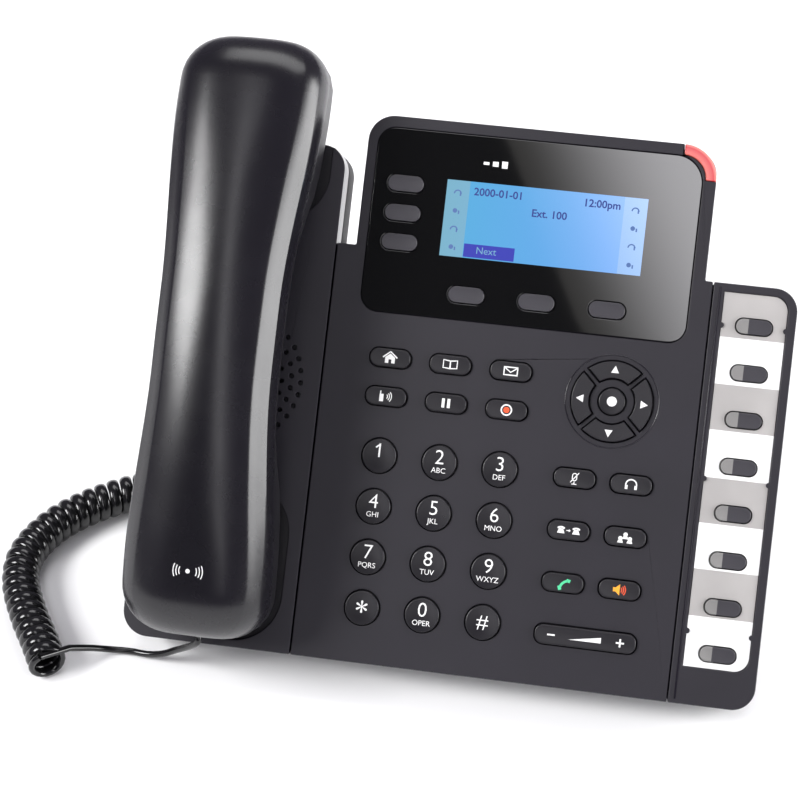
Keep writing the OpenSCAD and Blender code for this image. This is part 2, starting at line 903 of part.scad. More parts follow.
rear_shell();
cradle_cover();
main_cover();
side_cover();
display_lens();
display_module();
message_lamp();
label_strip();
main_board();
keypad_mat();
loudspeaker();
hook_switch();
desk_stand();
rubber_feet();
case_screws();
jack_sockets();
handset_back();
handset_front();
earpiece();
microphone();
handset_plug();
base_plug();
cord_coil();
cord_tails();
for (i = [0:11]) digit_key(i);
for (i = [0:5]) function_key(upper_at(i));
for (i = [0:5]) function_key(lower_at(i));
for (i = [0:3]) arrow_key(i);
for (i = [0:2]) soft_key(i);
select_key();
volume_rocker();
line_keys();
speed_dial_keys(4);  // speed_dial_keys_upper
speed_dial_keys(0);  // speed_dial_keys_lower
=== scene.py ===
"""Desk telephone with a curly cord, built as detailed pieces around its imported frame."""

import math

import bmesh
import bpy
from bpy.props import (
    FloatProperty,
    FloatVectorProperty,
    PointerProperty,
)
from mathutils import Matrix, Vector


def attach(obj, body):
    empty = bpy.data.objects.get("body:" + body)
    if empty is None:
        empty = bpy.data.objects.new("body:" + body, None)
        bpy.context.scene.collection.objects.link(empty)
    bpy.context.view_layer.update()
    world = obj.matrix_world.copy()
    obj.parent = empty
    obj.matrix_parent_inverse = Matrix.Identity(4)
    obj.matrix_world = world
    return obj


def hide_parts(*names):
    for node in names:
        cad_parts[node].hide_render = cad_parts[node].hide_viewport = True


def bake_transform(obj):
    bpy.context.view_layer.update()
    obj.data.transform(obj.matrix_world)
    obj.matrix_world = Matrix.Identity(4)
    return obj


bl_info = {
    "name": "Desk telephone",
    "version": (1, 0, 0),
    "blender": (4, 5, 0),
    "location": "3D View > Sidebar > Telephone",
    "description": "Models the visible pieces of a desk telephone",
    "category": "Object",
}

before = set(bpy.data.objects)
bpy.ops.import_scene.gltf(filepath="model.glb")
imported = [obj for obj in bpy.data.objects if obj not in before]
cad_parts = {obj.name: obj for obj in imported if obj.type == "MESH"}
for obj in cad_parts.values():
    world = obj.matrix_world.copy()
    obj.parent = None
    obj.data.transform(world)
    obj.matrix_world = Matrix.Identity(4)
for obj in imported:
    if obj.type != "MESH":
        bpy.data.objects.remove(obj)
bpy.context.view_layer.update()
MM = 0.001

# Where the sloping face lies: its left-to-right middle, bottom edge and slope
FACE_TILT = math.radians(45)
FACE_BOTTOM = (0, -68 * MM, 15.678 * MM)
TO_FACE = Matrix.Translation(FACE_BOTTOM) @ Matrix.Rotation(FACE_TILT, 4, "X")

BODY = "body"
HANDSET = "handset"

# Key layout on the face, in millimetres
DIGITS = ["1", "2", "3", "4", "5", "6", "7", "8", "9", "star", "0", "hash"]
DIGIT_MARKS = ["1", "2", "3", "4", "5", "6", "7", "8", "9", "*", "0", "#"]
DIGIT_LETTERS = ["", "ABC", "DEF", "GHI", "JKL", "MNO", "PQRS", "TUV", "WXYZ", "", "OPER", ""]
UPPER_KEYS = ["home", "phonebook", "message", "intercom", "hold", "record"]
LOWER_KEYS = ["mute", "headset", "transfer", "conference", "send", "speaker"]
ARROWS = ["up", "left", "down", "right"]
PAD = (-5.5, 72)
PAD_PITCH = (21, 17.6)
UPPER_ROWS = (106, 13.4)
LOWER_KEYS_AT = (51, 72)
LOWER_PITCH = (19.4, 18)
NAV_AT = (51, 99.5)
NAV_RING = 16
VOLUME_AT = (51, 18)
VOLUME_SIZE = (34.5, 6.6)
FUNCTION_SIZE = (14, 6.2)
SLIM_SIZE = (12.4, 5.5)
SPEED_SIZE = (12.1, 5.1)
WINDOW = (21, 156.5, 69.5, 26.5)
LAMP_AT = (66, 178)
LAMP_RADII = (8.3, 12.2)
KEY_FOOT = -2.6
KEY_TOP = 1.3


# ---------------------------------------------------------------- settings


class PhoneSizes(bpy.types.PropertyGroup):
    digit_width: FloatProperty(
        name="Digit key", description="Diameter of a digit key", default=11.8 * MM,
        unit="LENGTH", subtype="DISTANCE",
    )
    key_crown: FloatProperty(
        name="Key crown", description="How far a digit key's top swells", default=0.3 * MM,
        unit="LENGTH", subtype="DISTANCE",
    )
    edge_round: FloatProperty(
        name="Edge rounding", description="Width of the rounding on the covers' edges",
        default=0.45 * MM, unit="LENGTH", subtype="DISTANCE",
    )
    cord_width: FloatProperty(
        name="Cord", description="Diameter of the cord", default=2.4 * MM,
        unit="LENGTH", subtype="DISTANCE",
    )
    coil_width: FloatProperty(
        name="Coil", description="Outer diameter of the cord's coil", default=13.8 * MM,
        unit="LENGTH", subtype="DISTANCE",
    )
    coil_pitch: FloatVectorProperty(
        name="Coil pitch", description="Distance between turns at the two ends of the coil",
        size=2, default=(5.0 * MM, 4.1 * MM), unit="LENGTH",
    )
    coil_band: FloatProperty(
        name="Coil band", description="Width of the flat cord where it is coiled",
        default=4.4 * MM, unit="LENGTH", subtype="DISTANCE",
    )


class PhoneColours(bpy.types.PropertyGroup):
    shell: FloatVectorProperty(
        name="Shell", description="Colour of the covers", size=4, subtype="COLOR",
        default=(0.0108, 0.0092, 0.0145, 1),
    )
    handset: FloatVectorProperty(
        name="Handset", description="Colour of the handset", size=4, subtype="COLOR",
        default=(0.0042, 0.0036, 0.006, 1),
    )
    keys: FloatVectorProperty(
        name="Keys", description="Colour of the key caps", size=4, subtype="COLOR",
        default=(0.0072, 0.0062, 0.0092, 1),
    )
    display: FloatVectorProperty(
        name="Display", description="Colour of the lit display", size=4, subtype="COLOR",
        default=(0.13, 0.42, 0.86, 1),
    )
    lamp: FloatVectorProperty(
        name="Lamp", description="Colour of the message lamp", size=4, subtype="COLOR",
        default=(0.5, 0.025, 0.035, 1),
    )


def sizes():
    return bpy.context.scene.phone_sizes


def colours():
    return bpy.context.scene.phone_colours


# ---------------------------------------------------------------- finishes


def add_node(material, kind, **values):
    node = material.node_tree.nodes.new(kind)
    for key, value in values.items():
        if key in node.inputs:
            node.inputs[key].default_value = value
        else:
            setattr(node, key, value)
    return node


def join(material, source, out, target, into):
    material.node_tree.links.new(source.outputs[out], target.inputs[into])


def base_finish(name, colour, roughness, **sockets):
    material = bpy.data.materials.new(name)
    material.use_nodes = True
    shader = material.node_tree.nodes["Principled BSDF"]
    shader.inputs["Base Color"].default_value = colour
    shader.inputs["Roughness"].default_value = roughness
    for key, value in sockets.items():
        shader.inputs[key].default_value = value
    return material, shader


def noise(material, scale, detail=2.0):
    place = add_node(material, "ShaderNodeTexCoord")
    pattern = add_node(material, "ShaderNodeTexNoise", Scale=scale, Detail=detail)
    join(material, place, "Object", pattern, "Vector")
    return pattern


def add_grain(material, shader, scale, strength, distance=0.00005):
    """Fine moulded texture, as bump."""
    pattern = noise(material, scale, 3.0)
    bump = add_node(material, "ShaderNodeBump", Strength=strength, Distance=distance)
    join(material, pattern, "Fac", bump, "Height")
    join(material, bump, "Normal", shader, "Normal")


def vary_sheen(material, shader, scale, low, high):
    """Roughness that drifts over the surface, as handled plastic does."""
    pattern = noise(material, scale, 4.0)
    span = add_node(material, "ShaderNodeMapRange")
    span.inputs["To Min"].default_value = low
    span.inputs["To Max"].default_value = high
    join(material, pattern, "Fac", span, "Value")
    join(material, span, "Result", shader, "Roughness")


def vary_colour(material, shader, scale, dark, light):
    pattern = noise(material, scale, 3.0)
    ramp = add_node(material, "ShaderNodeValToRGB")
    ramp.color_ramp.elements[0].position = 0.3
    ramp.color_ramp.elements[1].position = 0.7
    ramp.color_ramp.elements[0].color = dark
    ramp.color_ramp.elements[1].color = light
    join(material, pattern, "Fac", ramp, "Fac")
    join(material, ramp, "Color", shader, "Base Color")


def shade_of(colour, factor):
    return (colour[0] * factor, colour[1] * factor, colour[2] * factor, 1)


def plastic(name, colour, rough, grain_scale, grain_strength, **sockets):
    """Moulded plastic with its own grain, drifting sheen and slight colour change."""
    material, shader = base_finish(name, colour, rough, **sockets)
    add_grain(material, shader, grain_scale, grain_strength)
    vary_sheen(material, shader, 90.0, rough * 0.9, rough * 1.12)
    vary_colour(material, shader, 35.0, shade_of(colour, 0.9), shade_of(colour, 1.1))
    return material


def ink(name, colour, glow=0.0):
    material, shader = base_finish(name, (0.002, 0.002, 0.004, 1) if glow else colour, 0.45)
    if glow:
        shader.inputs["Emission Color"].default_value = colour
        shader.inputs["Emission Strength"].default_value = glow
    add_grain(material, shader, 5000.0, 0.1, 0.00001)
    return material


def display_finish(name, colour, far_colour, glow):
    """Backlit screen: the glow drifts across the panel and the pixel grid is pressed in finely."""
    material, shader = base_finish(name, (0.01, 0.02, 0.03, 1), 0.05, IOR=1.9)
    shader.inputs["Emission Strength"].default_value = glow
    place = add_node(material, "ShaderNodeTexCoord")
    split = add_node(material, "ShaderNodeSeparateXYZ")
    join(material, place, "Object", split, "Vector")
    span = add_node(material, "ShaderNodeMapRange")
    span.inputs["From Min"].default_value = (WINDOW[0] - WINDOW[2] / 2) * MM
    span.inputs["From Max"].default_value = (WINDOW[0] + WINDOW[2] / 2) * MM
    join(material, split, "X", span, "Value")
    ramp = add_node(material, "ShaderNodeValToRGB")
    ramp.color_ramp.elements[0].color = colour
    ramp.color_ramp.elements[1].color = far_colour
    join(material, span, "Result", ramp, "Fac")
    join(material, ramp, "Color", shader, "Emission Color")
    add_grain(material, shader, 9000.0, 0.04, 0.00001)
    return material


def lamp_finish(colour):
    """Clear red plastic: pale at its inner and outer walls, deep red between them."""
    material, shader = base_finish("lamp_red", colour, 0.14, **{
        "Subsurface Weight": 0.3, "Subsurface Scale": 0.003, "Emission Strength": 0.06,
    })
    place = add_node(material, "ShaderNodeTexCoord")
    away = add_node(material, "ShaderNodeVectorMath", operation="DISTANCE")
    away.inputs[1].default_value = TO_FACE @ Vector((LAMP_AT[0] * MM, LAMP_AT[1] * MM, 0))
    join(material, place, "Object", away, 0)
    span = add_node(material, "ShaderNodeMapRange")
    span.inputs["From Min"].default_value = LAMP_RADII[0] * MM
    span.inputs["From Max"].default_value = LAMP_RADII[1] * MM
    join(material, away, "Value", span, "Value")
    ramp = add_node(material, "ShaderNodeValToRGB")
    middle = ramp.color_ramp.elements.new(0.68)
    outer = ramp.color_ramp.elements.new(0.84)
    ramp.color_ramp.elements[0].color = (0.62, 0.15, 0.125, 1)
    middle.color = colour
    outer.color = (0.6, 0.16, 0.14, 1)
    ramp.color_ramp.elements[-1].color = (0.75, 0.36, 0.3, 1)
    join(material, span, "Result", ramp, "Fac")
    join(material, ramp, "Color", shader, "Base Color")
    join(material, ramp, "Color", shader, "Emission Color")
    add_grain(material, shader, 300.0, 0.03)
    return material


def make_finishes():
    c = colours()
    white = (0.85, 0.85, 0.84, 1)
    f = {}
    f["shell"] = plastic("shell_satin", c.shell, 0.47, 2600.0, 0.16)
    f["rear"] = plastic("rear_matte", shade_of(c.shell, 0.7), 0.55, 1800.0, 0.3)
    f["side"] = plastic("shell_side_gloss", c.shell, 0.14, 2600.0, 0.05)
    f["handset"] = plastic("handset_satin", c.handset, 0.27, 3200.0, 0.12, **{
        "Specular IOR Level": 0.5,
    })
    f["cup"] = plastic("handset_cup_satin", shade_of(c.handset, 0.85), 0.38, 2600.0, 0.16)
    f["key"] = plastic("key_satin", c.keys, 0.33, 3500.0, 0.08)
    f["slim"] = plastic("slim_key_satin", (0.032, 0.03, 0.037, 1), 0.42, 3500.0, 0.08)
    f["window"] = plastic("key_window", (0.2, 0.195, 0.19, 1), 0.3, 900.0, 0.06)
    f["white"] = ink("legend_white", white)
    f["red"] = ink("legend_red", (0.85, 0.1, 0.03, 1))
    f["green"] = ink("legend_green", (0.08, 0.62, 0.3, 1))
    f["orange"] = ink("legend_orange", (0.9, 0.38, 0.03, 1))
    f["lens"], shader = base_finish("lens_gloss", (0.003, 0.003, 0.0032, 1), 0.03, IOR=1.9)
    add_grain(f["lens"], shader, 40.0, 0.008, 0.00005)
    f["screen"] = display_finish("screen_blue", (0.1, 0.42, 0.72, 1), (0.14, 0.36, 0.86, 1), 1.0)
    f["column"] = display_finish("screen_column", (0.2, 0.44, 0.58, 1), (0.24, 0.44, 0.82, 1), 1.0)
    f["screen_ink"] = ink("screen_ink", (0.02, 0.05, 0.34, 1), 0.8)
    f["faint_ink"] = ink("screen_faint_ink", (0.1, 0.2, 0.5, 1), 0.9)
    f["bar_ink"] = ink("screen_bar", (0.02, 0.03, 0.5, 1), 0.9)
    f["lamp"] = lamp_finish(c.lamp)
    f["grey_paper"] = plastic("label_grey", (0.385, 0.37, 0.36, 1), 0.75, 900.0, 0.12)
    f["white_paper"] = plastic("label_white", (0.87, 0.87, 0.86, 1), 0.75, 900.0, 0.12)
    f["cord"] = plastic("cord_gloss", (0.006, 0.006, 0.0065, 1), 0.16, 1500.0, 0.06)
    f["rubber"] = plastic("foot_rubber", (0.012, 0.012, 0.012, 1), 0.8, 1500.0, 0.4)
    f["jack"] = plastic("jack_black", (0.012, 0.012, 0.013, 1), 0.4, 2500.0, 0.12)
    f["steel"] = plastic("screw_steel", (0.55, 0.55, 0.57, 1), 0.3, 2500.0, 0.15, Metallic=1.0)
    f["gold"] = plastic("contact_gold", (0.8, 0.55, 0.2, 1), 0.25, 2500.0, 0.1, Metallic=1.0)
    f["clear"] = plastic("plug_clear", (0.75, 0.77, 0.8, 1), 0.12, 900.0, 0.05, **{
        "Transmission Weight": 0.75,
    })
    f["board"] = plastic("board_green", (0.01, 0.09, 0.03, 1), 0.35, 1200.0, 0.1)
    f["silicone"] = plastic("mat_silicone", (0.5, 0.5, 0.47, 1), 0.6, 1500.0, 0.2)
    f["cone"] = plastic("speaker_cone", (0.05, 0.05, 0.055, 1), 0.75, 1500.0, 0.3)
    return f


FINISH = {}


# ---------------------------------------------------------------- modelling helpers


def start(piece):
    bpy.ops.object.select_all(action="DESELECT")
    piece.select_set(True)
    bpy.context.view_layer.objects.active = piece


def pick(piece, kind, test):
    """In edit mode, selects just the faces or edges that the test keeps."""
    mesh = bmesh.from_edit_mesh(piece.data)
    for group in (mesh.verts, mesh.edges, mesh.faces):
        for part in group:
            part.select_set(False)
    for part in getattr(mesh, kind):
        if test(part):
            part.select_set(True)
    bmesh.update_edit_mesh(piece.data)


def top_face(piece):
    """In edit mode, selects the highest face that looks up."""
    mesh = bmesh.from_edit_mesh(piece.data)
    up = [f for f in mesh.faces if f.normal.z > 0.9]
    best = max(up, key=lambda f: (round(f.calc_center_median().z, 7), f.calc_area()))
    pick(piece, "faces", lambda f: f == best)


def apply_modifier(piece, kind, **settings):
    start(piece)
    modifier = piece.modifiers.new(kind.title(), kind)
    for key, value in settings.items():
        setattr(modifier, key, value)
    bpy.ops.object.modifier_apply(modifier=modifier.name)


def soften(piece, width, angle=30.0, segments=2):
    """Rounds the sharp edges and smooths the rest."""
    apply_modifier(
        piece, "BEVEL", width=width, segments=segments, limit_method="ANGLE",
        angle_limit=math.radians(angle), use_clamp_overlap=False,
    )
    start(piece)
    bpy.ops.object.shade_smooth_by_angle(angle=math.radians(32))


def join_pieces(pieces):
    start(pieces[0])
    for piece in pieces[1:]:
        piece.select_set(True)
    if len(pieces) > 1:
        bpy.ops.object.join()
    return pieces[0]


def finish_piece(piece, name, body, finish=None, replaces=(), on_face=None):
    """Names a piece, moves it from the flat bench to its place on the face and hands it to its body."""
    if on_face is not None:
        move = TO_FACE @ Matrix.Translation((on_face[0] * MM, on_face[1] * MM, 0))
        piece.data.transform(move)
    piece.name = name
    piece.data.name = name
    if finish is not None:
        piece.data.materials.clear()
        piece.data.materials.append(finish)
    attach(piece, body)
    if replaces:
        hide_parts(*replaces)
    return piece


def shell_copy(node, name, round_width, angle=30.0):
    """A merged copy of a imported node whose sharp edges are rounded."""
    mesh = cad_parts[node].data.copy()
    piece = bpy.data.objects.new(name, mesh)
    bpy.context.scene.collection.objects.link(piece)
    start(piece)
    bpy.ops.object.mode_set(mode="EDIT")
    bpy.ops.mesh.select_all(action="SELECT")
    bpy.ops.mesh.remove_doubles(threshold=2e-6)
    bpy.ops.mesh.dissolve_degenerate(threshold=1e-5)
    bpy.ops.mesh.dissolve_limited(angle_limit=math.radians(0.6))
    bpy.ops.object.mode_set(mode="OBJECT")
    bpy.ops.mesh.customdata_custom_splitnormals_clear()
    bpy.ops.object.shade_flat()
    if round_width:
        soften(piece, round_width, angle)
        apply_modifier(piece, "WEIGHTED_NORMAL", keep_sharp=True, weight=100)
    return piece


def from_outline(points, low, high):
    """A flat plate from its outline, in millimetres, stood between two heights."""
    mesh = bpy.data.meshes.new("plate")
    mesh.from_pydata([(x * MM, y * MM, low * MM) for x, y in points], [], [range(len(points))])
    piece = bpy.data.objects.new("plate", mesh)
    bpy.context.scene.collection.objects.link(piece)
    start(piece)
    bpy.ops.object.mode_set(mode="EDIT")
    bpy.ops.mesh.select_all(action="SELECT")
    bpy.ops.mesh.extrude_region_move(
        TRANSFORM_OT_translate={"value": (0, 0, (high - low) * MM)}
    )
    bpy.ops.mesh.select_all(action="SELECT")
    bpy.ops.mesh.normals_make_consistent(inside=False)
    bpy.ops.object.mode_set(mode="OBJECT")
    return piece


def strip_points(points, width):
    """The outline of a line of the given width that follows the points."""
    left, right = [], []
    for i, point in enumerate(points):
        before = Vector(points[max(i - 1, 0)])
        after = Vector(points[min(i + 1, len(points) - 1)])
        way = (after - before).normalized()
        side = Vector((-way.y, way.x)) * width / 2
        left.append(tuple(Vector(point) + side))
        right.append(tuple(Vector(point) - side))
    return left + right[::-1]


def arc_points(x, y, r, first, last, steps=12):
    angles = [math.radians(first + (last - first) * i / steps) for i in range(steps + 1)]
    return [(x + r * math.cos(a), y + r * math.sin(a)) for a in angles]


INK_LOW = -0.1
INK_HIGH = 0.035


def mark(points, finish, low=INK_LOW, high=INK_HIGH):
    piece = from_outline(points, low, high)
    piece.data.materials.append(finish)
    return piece


def line_mark(points, width, finish):
    return mark(strip_points(points, width), finish)


def disc_mark(x, y, r, finish):
    return mark(arc_points(x, y, r, 0, 348, 29), finish)


def box_mark(x, y, w, h, finish):
    return mark(
        [(x - w / 2, y - h / 2), (x + w / 2, y - h / 2), (x + w / 2, y + h / 2), (x - w / 2, y + h / 2)],
        finish,
    )


def frame_mark(x, y, w, h, line, finish):
    """A rectangle drawn as four lines."""
    return [
        box_mark(x, y + h / 2, w + line, line, finish),
        box_mark(x, y - h / 2, w + line, line, finish),
        box_mark(x - w / 2, y, line, h, finish),
        box_mark(x + w / 2, y, line, h, finish),
    ]


def letters(text, size, x, y, finish, bold=0.0):
    """Lettering as a thin solid, centred at a point."""
    bpy.ops.object.select_all(action="DESELECT")
    bpy.ops.object.text_add(location=(0, 0, 0))
    piece = bpy.context.view_layer.objects.active
    piece.data.body = text
    piece.data.size = size * MM
    piece.data.align_x = "CENTER"
    piece.data.align_y = "CENTER"
    piece.data.resolution_u = 3
    piece.data.offset = bold * MM
    piece.data.extrude = (INK_HIGH - INK_LOW) / 2 * MM
    start(piece)
    bpy.ops.object.convert(target="MESH")
    piece = bpy.context.view_layer.objects.active
    piece.data.transform(Matrix.Translation((x * MM, y * MM, (INK_HIGH + INK_LOW) / 2 * MM)))
    piece.data.materials.clear()
    piece.data.materials.append(finish)
    return piece


# ---------------------------------------------------------------- cord


COIL_ROUTE = [
    (-106, 13, 7), (-119, 10, 7), (-132, 3, 7), (-144, -7, 7), (-152, -18, 7),
    (-156, -31, 7), (-154, -44, 7), (-147, -58, 7), (-140, -69, 7), (-134, -79, 7),
]
HANDSET_ROUTE = [
    (-134, -76, 9), (-128, -72, 9), (-122, -68, 5.5), (-116, -65, 2.4), (-109, -64, 1.6),
    (-102, -65, 2.4), (-96, -66, 5), (-91, -67, 9), (-86, -69.3, 14.3), (-82, -71.5, 19.5),
    (-81, -71.6, 21.7), (-81, -70.35, 22.95),
]
BASE_ROUTE = [
    (-109, 13, 7), (-100, 14, 5), (-92, 19, 4.5), (-85, 28, 12), (-82, 33, 26),
    (-82, 31, 40), (-83, 22, 50), (-84, 13.5, 55.8), (-84, 10.5, 58.8),
]
TURN_STEPS = 20
COIL_END_ANGLE = math.radians(65)


def curve_through(points, steps):
    """A smooth line through the points, in metres."""
    points = [Vector(p) * MM for p in points]
    line = []
    for i in range(len(points) - 1):
        a = points[max(i - 1, 0)]
        b, c = points[i], points[i + 1]
        d = points[min(i + 2, len(points) - 1)]
        for k in range(steps):
            t = k / steps
            line.append(0.5 * (
                2 * b + (c - a) * t + (2 * a - 5 * b + 4 * c - d) * t * t
                + (3 * b - 3 * c + d - a) * t * t * t
            ))
    return line + [points[-1]]


def measured(line):
    """How far along the line each point is."""
    along = [0.0]
    for a, b in zip(line, line[1:]):
        along.append(along[-1] + (b - a).length)
    return along


def point_at(line, along, distance):
    for i in range(len(line) - 2):
        if along[i + 1] >= distance:
            break
    span = (distance - along[i]) / (along[i + 1] - along[i])
    return line[i].lerp(line[i + 1], span), (line[i + 1] - line[i]).normalized()


def coil_line():
    """The winding of the curly part, and the direction that its flat band faces at each point."""
    s = sizes()
    middle = curve_through(COIL_ROUTE, 10)
    along = measured(middle)
    total = along[-1]
    radius = (s.coil_width - s.cord_width) / 2
    places = [0.0]
    while places[-1] < total:
        share = places[-1] / total
        pitch = s.coil_pitch[0] + (s.coil_pitch[1] - s.coil_pitch[0]) * share
        places.append(places[-1] + pitch / TURN_STEPS)
    places = places[:-1]
    line, axes = [], []
    for i, distance in enumerate(places):
        angle = COIL_END_ANGLE - (len(places) - 1 - i) * 2 * math.pi / TURN_STEPS
        centre, way = point_at(middle, along, distance)
        side = way.cross(Vector((0, 0, 1))).normalized()
        lift = side.cross(way)
        ease = min(1.0, distance / (6 * MM))
        line.append(centre + radius * ease * (side * math.cos(angle) + lift * math.sin(angle)))
        axes.append(way)
    return line, axes


def band_widths(count, before):
    """The cord's width at each point: round on its straight part, flat where it is coiled."""
    s = sizes()
    widths = [s.cord_width] * before
    for i in range(count):
        into = blend_step(i / (1.5 * TURN_STEPS)) * blend_step((count - 1 - i) / (0.8 * TURN_STEPS))
        widths.append(s.cord_width + (s.coil_band - s.cord_width) * into)
    return widths


def band(name, line, axes, widths):
    """A cord with an oval section that follows the line, wide along its axes."""
    thick = sizes().cord_width
    turns = [2 * math.pi * k / 12 for k in range(12)]
    sections = []
    for i, point in enumerate(line):
        way = (line[min(i + 1, len(line) - 1)] - line[max(i - 1, 0)]).normalized()
        wide = (axes[i] - way * axes[i].dot(way)).normalized()
        out = way.cross(wide)
        sections.append([
            (point + wide * math.cos(a) * widths[i] / 2 + out * math.sin(a) * thick / 2) / MM
            for a in turns
        ])
    piece = loft(name, sections)
    start(piece)
    bpy.ops.object.shade_smooth_by_angle(angle=math.radians(60))
    return piece


def tube(name, line, width):
    """A round cord on one open curve."""
    curve = bpy.data.curves.new(name, "CURVE")
    curve.dimensions = "3D"
    curve.bevel_depth = width / 2
    curve.bevel_resolution = 3
    curve.use_fill_caps = True
    spline = curve.splines.new("POLY")
    spline.points.add(len(line) - 1)
    for point, place in zip(spline.points, line):
        point.co = (*place, 1)
    spline.use_smooth = True
    piece = bpy.data.objects.new(name, curve)
    bpy.context.scene.collection.objects.link(piece)
    return piece


class PHONE_OT_cord(bpy.types.Operator):
    """Wind the curly cord and lay its straight tails"""

    bl_idname = "phone.cord"
    bl_label = "Cord"

    def execute(self, context):
        s = sizes()
        base = curve_through(BASE_ROUTE, 6)[::-1]
        coil, axes = coil_line()
        straight = base[:-6]
        line = straight + coil
        facing = [axes[0]]
        for i in range(len(straight) - 1, -1, -1):
            way = (line[i + 1] - line[i]).normalized()
            facing.append((facing[-1] - way * facing[-1].dot(way)).normalized())
        widths = band_widths(len(coil), len(straight))
        curly = band("curly_cord", line, facing[:0:-1] + axes, widths)
        curly.data.materials.append(FINISH["cord"])
        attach(curly, BODY)
        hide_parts("cord_coil", "cord_tails")
        tail_line = [coil[-1]] + curve_through(HANDSET_ROUTE[1:], 6)
        tail = tube("handset_cord_tail", tail_line, s.cord_width)
        tail.data.materials.append(FINISH["cord"])
        start(tail)
        bpy.ops.object.convert(target="MESH")
        tail = context.view_layer.objects.active
        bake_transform(tail)
        return {"FINISHED"}


# ---------------------------------------------------------------- covers and stand


RIDGE_AT = (83.3, 72)
RIDGE_SIZE = (0.6, 141)


class PHONE_OT_covers(bpy.types.Operator):
    """Round the edges of the covers, the rear shell and the stand"""

    bl_idname = "phone.covers"
    bl_label = "Covers and stand"

    def execute(self, context):
        edge = sizes().edge_round
        for node, slot, finish in (
            ("cradle_cover", "shell_black", "shell"),
            ("main_cover", "shell_black", "shell"),
            ("side_cover", "shell_black", "shell"),
            ("rear_shell", "rear_black", "rear"),
            ("desk_stand", "rear_black", "rear"),
            ("rubber_feet", "foot_rubber", "rubber"),
        ):
            piece = shell_copy(node, node + "_moulded", edge)
            piece.data.materials.clear()
            piece.data.materials.append(FINISH[finish])
            if finish == "shell":
                self.gloss_sides(piece)
            finish_piece(piece, node + "_moulded", BODY, None, [node])
        half = RIDGE_SIZE[1] / 2
        wide = RIDGE_SIZE[0] / 2
        outline = [(-wide, -half), (wide, -half), (wide, half), (-wide, half)]
        ridge = from_outline(outline, -0.2, 0.3)
        soften(ridge, 0.15 * MM)
        finish_piece(ridge, "side_cover_ridge", BODY, FINISH["side"], (), RIDGE_AT)
        return {"FINISHED"}

    def gloss_sides(self, piece):
        """The covers' outer walls come polished from the mould; their faces are satin."""
        piece.data.materials.append(FINISH["side"])
        out = TO_FACE.to_3x3() @ Vector((0, 0, 1))
        for face in piece.data.polygons:
            if abs(face.normal.dot(out)) < 0.75:
                face.material_index = 1


# ---------------------------------------------------------------- handset


HANDSET_AT = (-81, 4)
HANDSET_LEN = 205
HANDSET_RINGS = 60


def blend_step(t):
    t = max(0.0, min(1.0, t))
    return t * t * (3 - 2 * t)


def arc_drop(gap, r):
    return 0.0 if gap >= r else r - math.sqrt(max(0.0, r * r - (r - gap) ** 2))


def handset_shape(y):
    """Half width, parting height, crown height and how sharp the creases are, at a place along it."""
    gap = min(y, HANDSET_LEN - y)
    arch = math.sin(math.pi * y / HANDSET_LEN)
    half = (51 - 8 * blend_step((gap - 22) / 68)) / 2 - arc_drop(gap, 16)
    part = 14 + 17 * arch
    crown = 34 + 13 * arch - arc_drop(gap, 15)
    crease = blend_step((gap - 14) / 40)
    return half, part, crown, crease


def back_section(y):
    half, part, crown, crease = handset_shape(y)
    rise = crown - part
    share = [
        (1.0, 0.0), (1.0, 0.07), (0.985, 0.2), (0.955, 0.38),
        (0.94, 0.45), (0.925, 0.47), (0.83, 0.61), (0.735, 0.745),
        (0.715, 0.765), (0.69, 0.785), (0.52, 0.875), (0.35, 0.94), (0.18, 0.985), (0.0, 1.0),
    ]
    section = []
    for u, v in share:
        angle = math.atan2(v, u)
        round_u = math.copysign(abs(math.cos(angle)) ** 0.72, u)
        round_v = math.sin(angle) ** 0.8
        u = u * crease + round_u * (1 - crease)
        v = v * crease + round_v * (1 - crease)
        section.append((half * u, part + rise * v))
    return section + [(-x, z) for x, z in section[-2::-1]]


def loft(name, sections):
    """A closed body through cross sections, each a list of (x, y, z) in millimetres."""
    count = len(sections[0])
    points = [tuple(Vector(p) * MM) for section in sections for p in section]
    faces = [tuple(range(count))[::-1]]
    faces.append(tuple((len(sections) - 1) * count + i for i in range(count)))
    for k in range(len(sections) - 1):
        for i in range(count):
            j = (i + 1) % count
            faces.append((k * count + i, k * count + j, (k + 1) * count + j, (k + 1) * count + i))
    mesh = bpy.data.meshes.new(name)
    mesh.from_pydata(points, [], faces)
    piece = bpy.data.objects.new(name, mesh)
    bpy.context.scene.collection.objects.link(piece)
    start(piece)
    bpy.ops.object.mode_set(mode="EDIT")
    bpy.ops.mesh.select_all(action="SELECT")
    bpy.ops.mesh.remove_doubles(threshold=1e-6)
    bpy.ops.mesh.normals_make_consistent(inside=False)
    bpy.ops.object.mode_set(mode="OBJECT")
    return piece


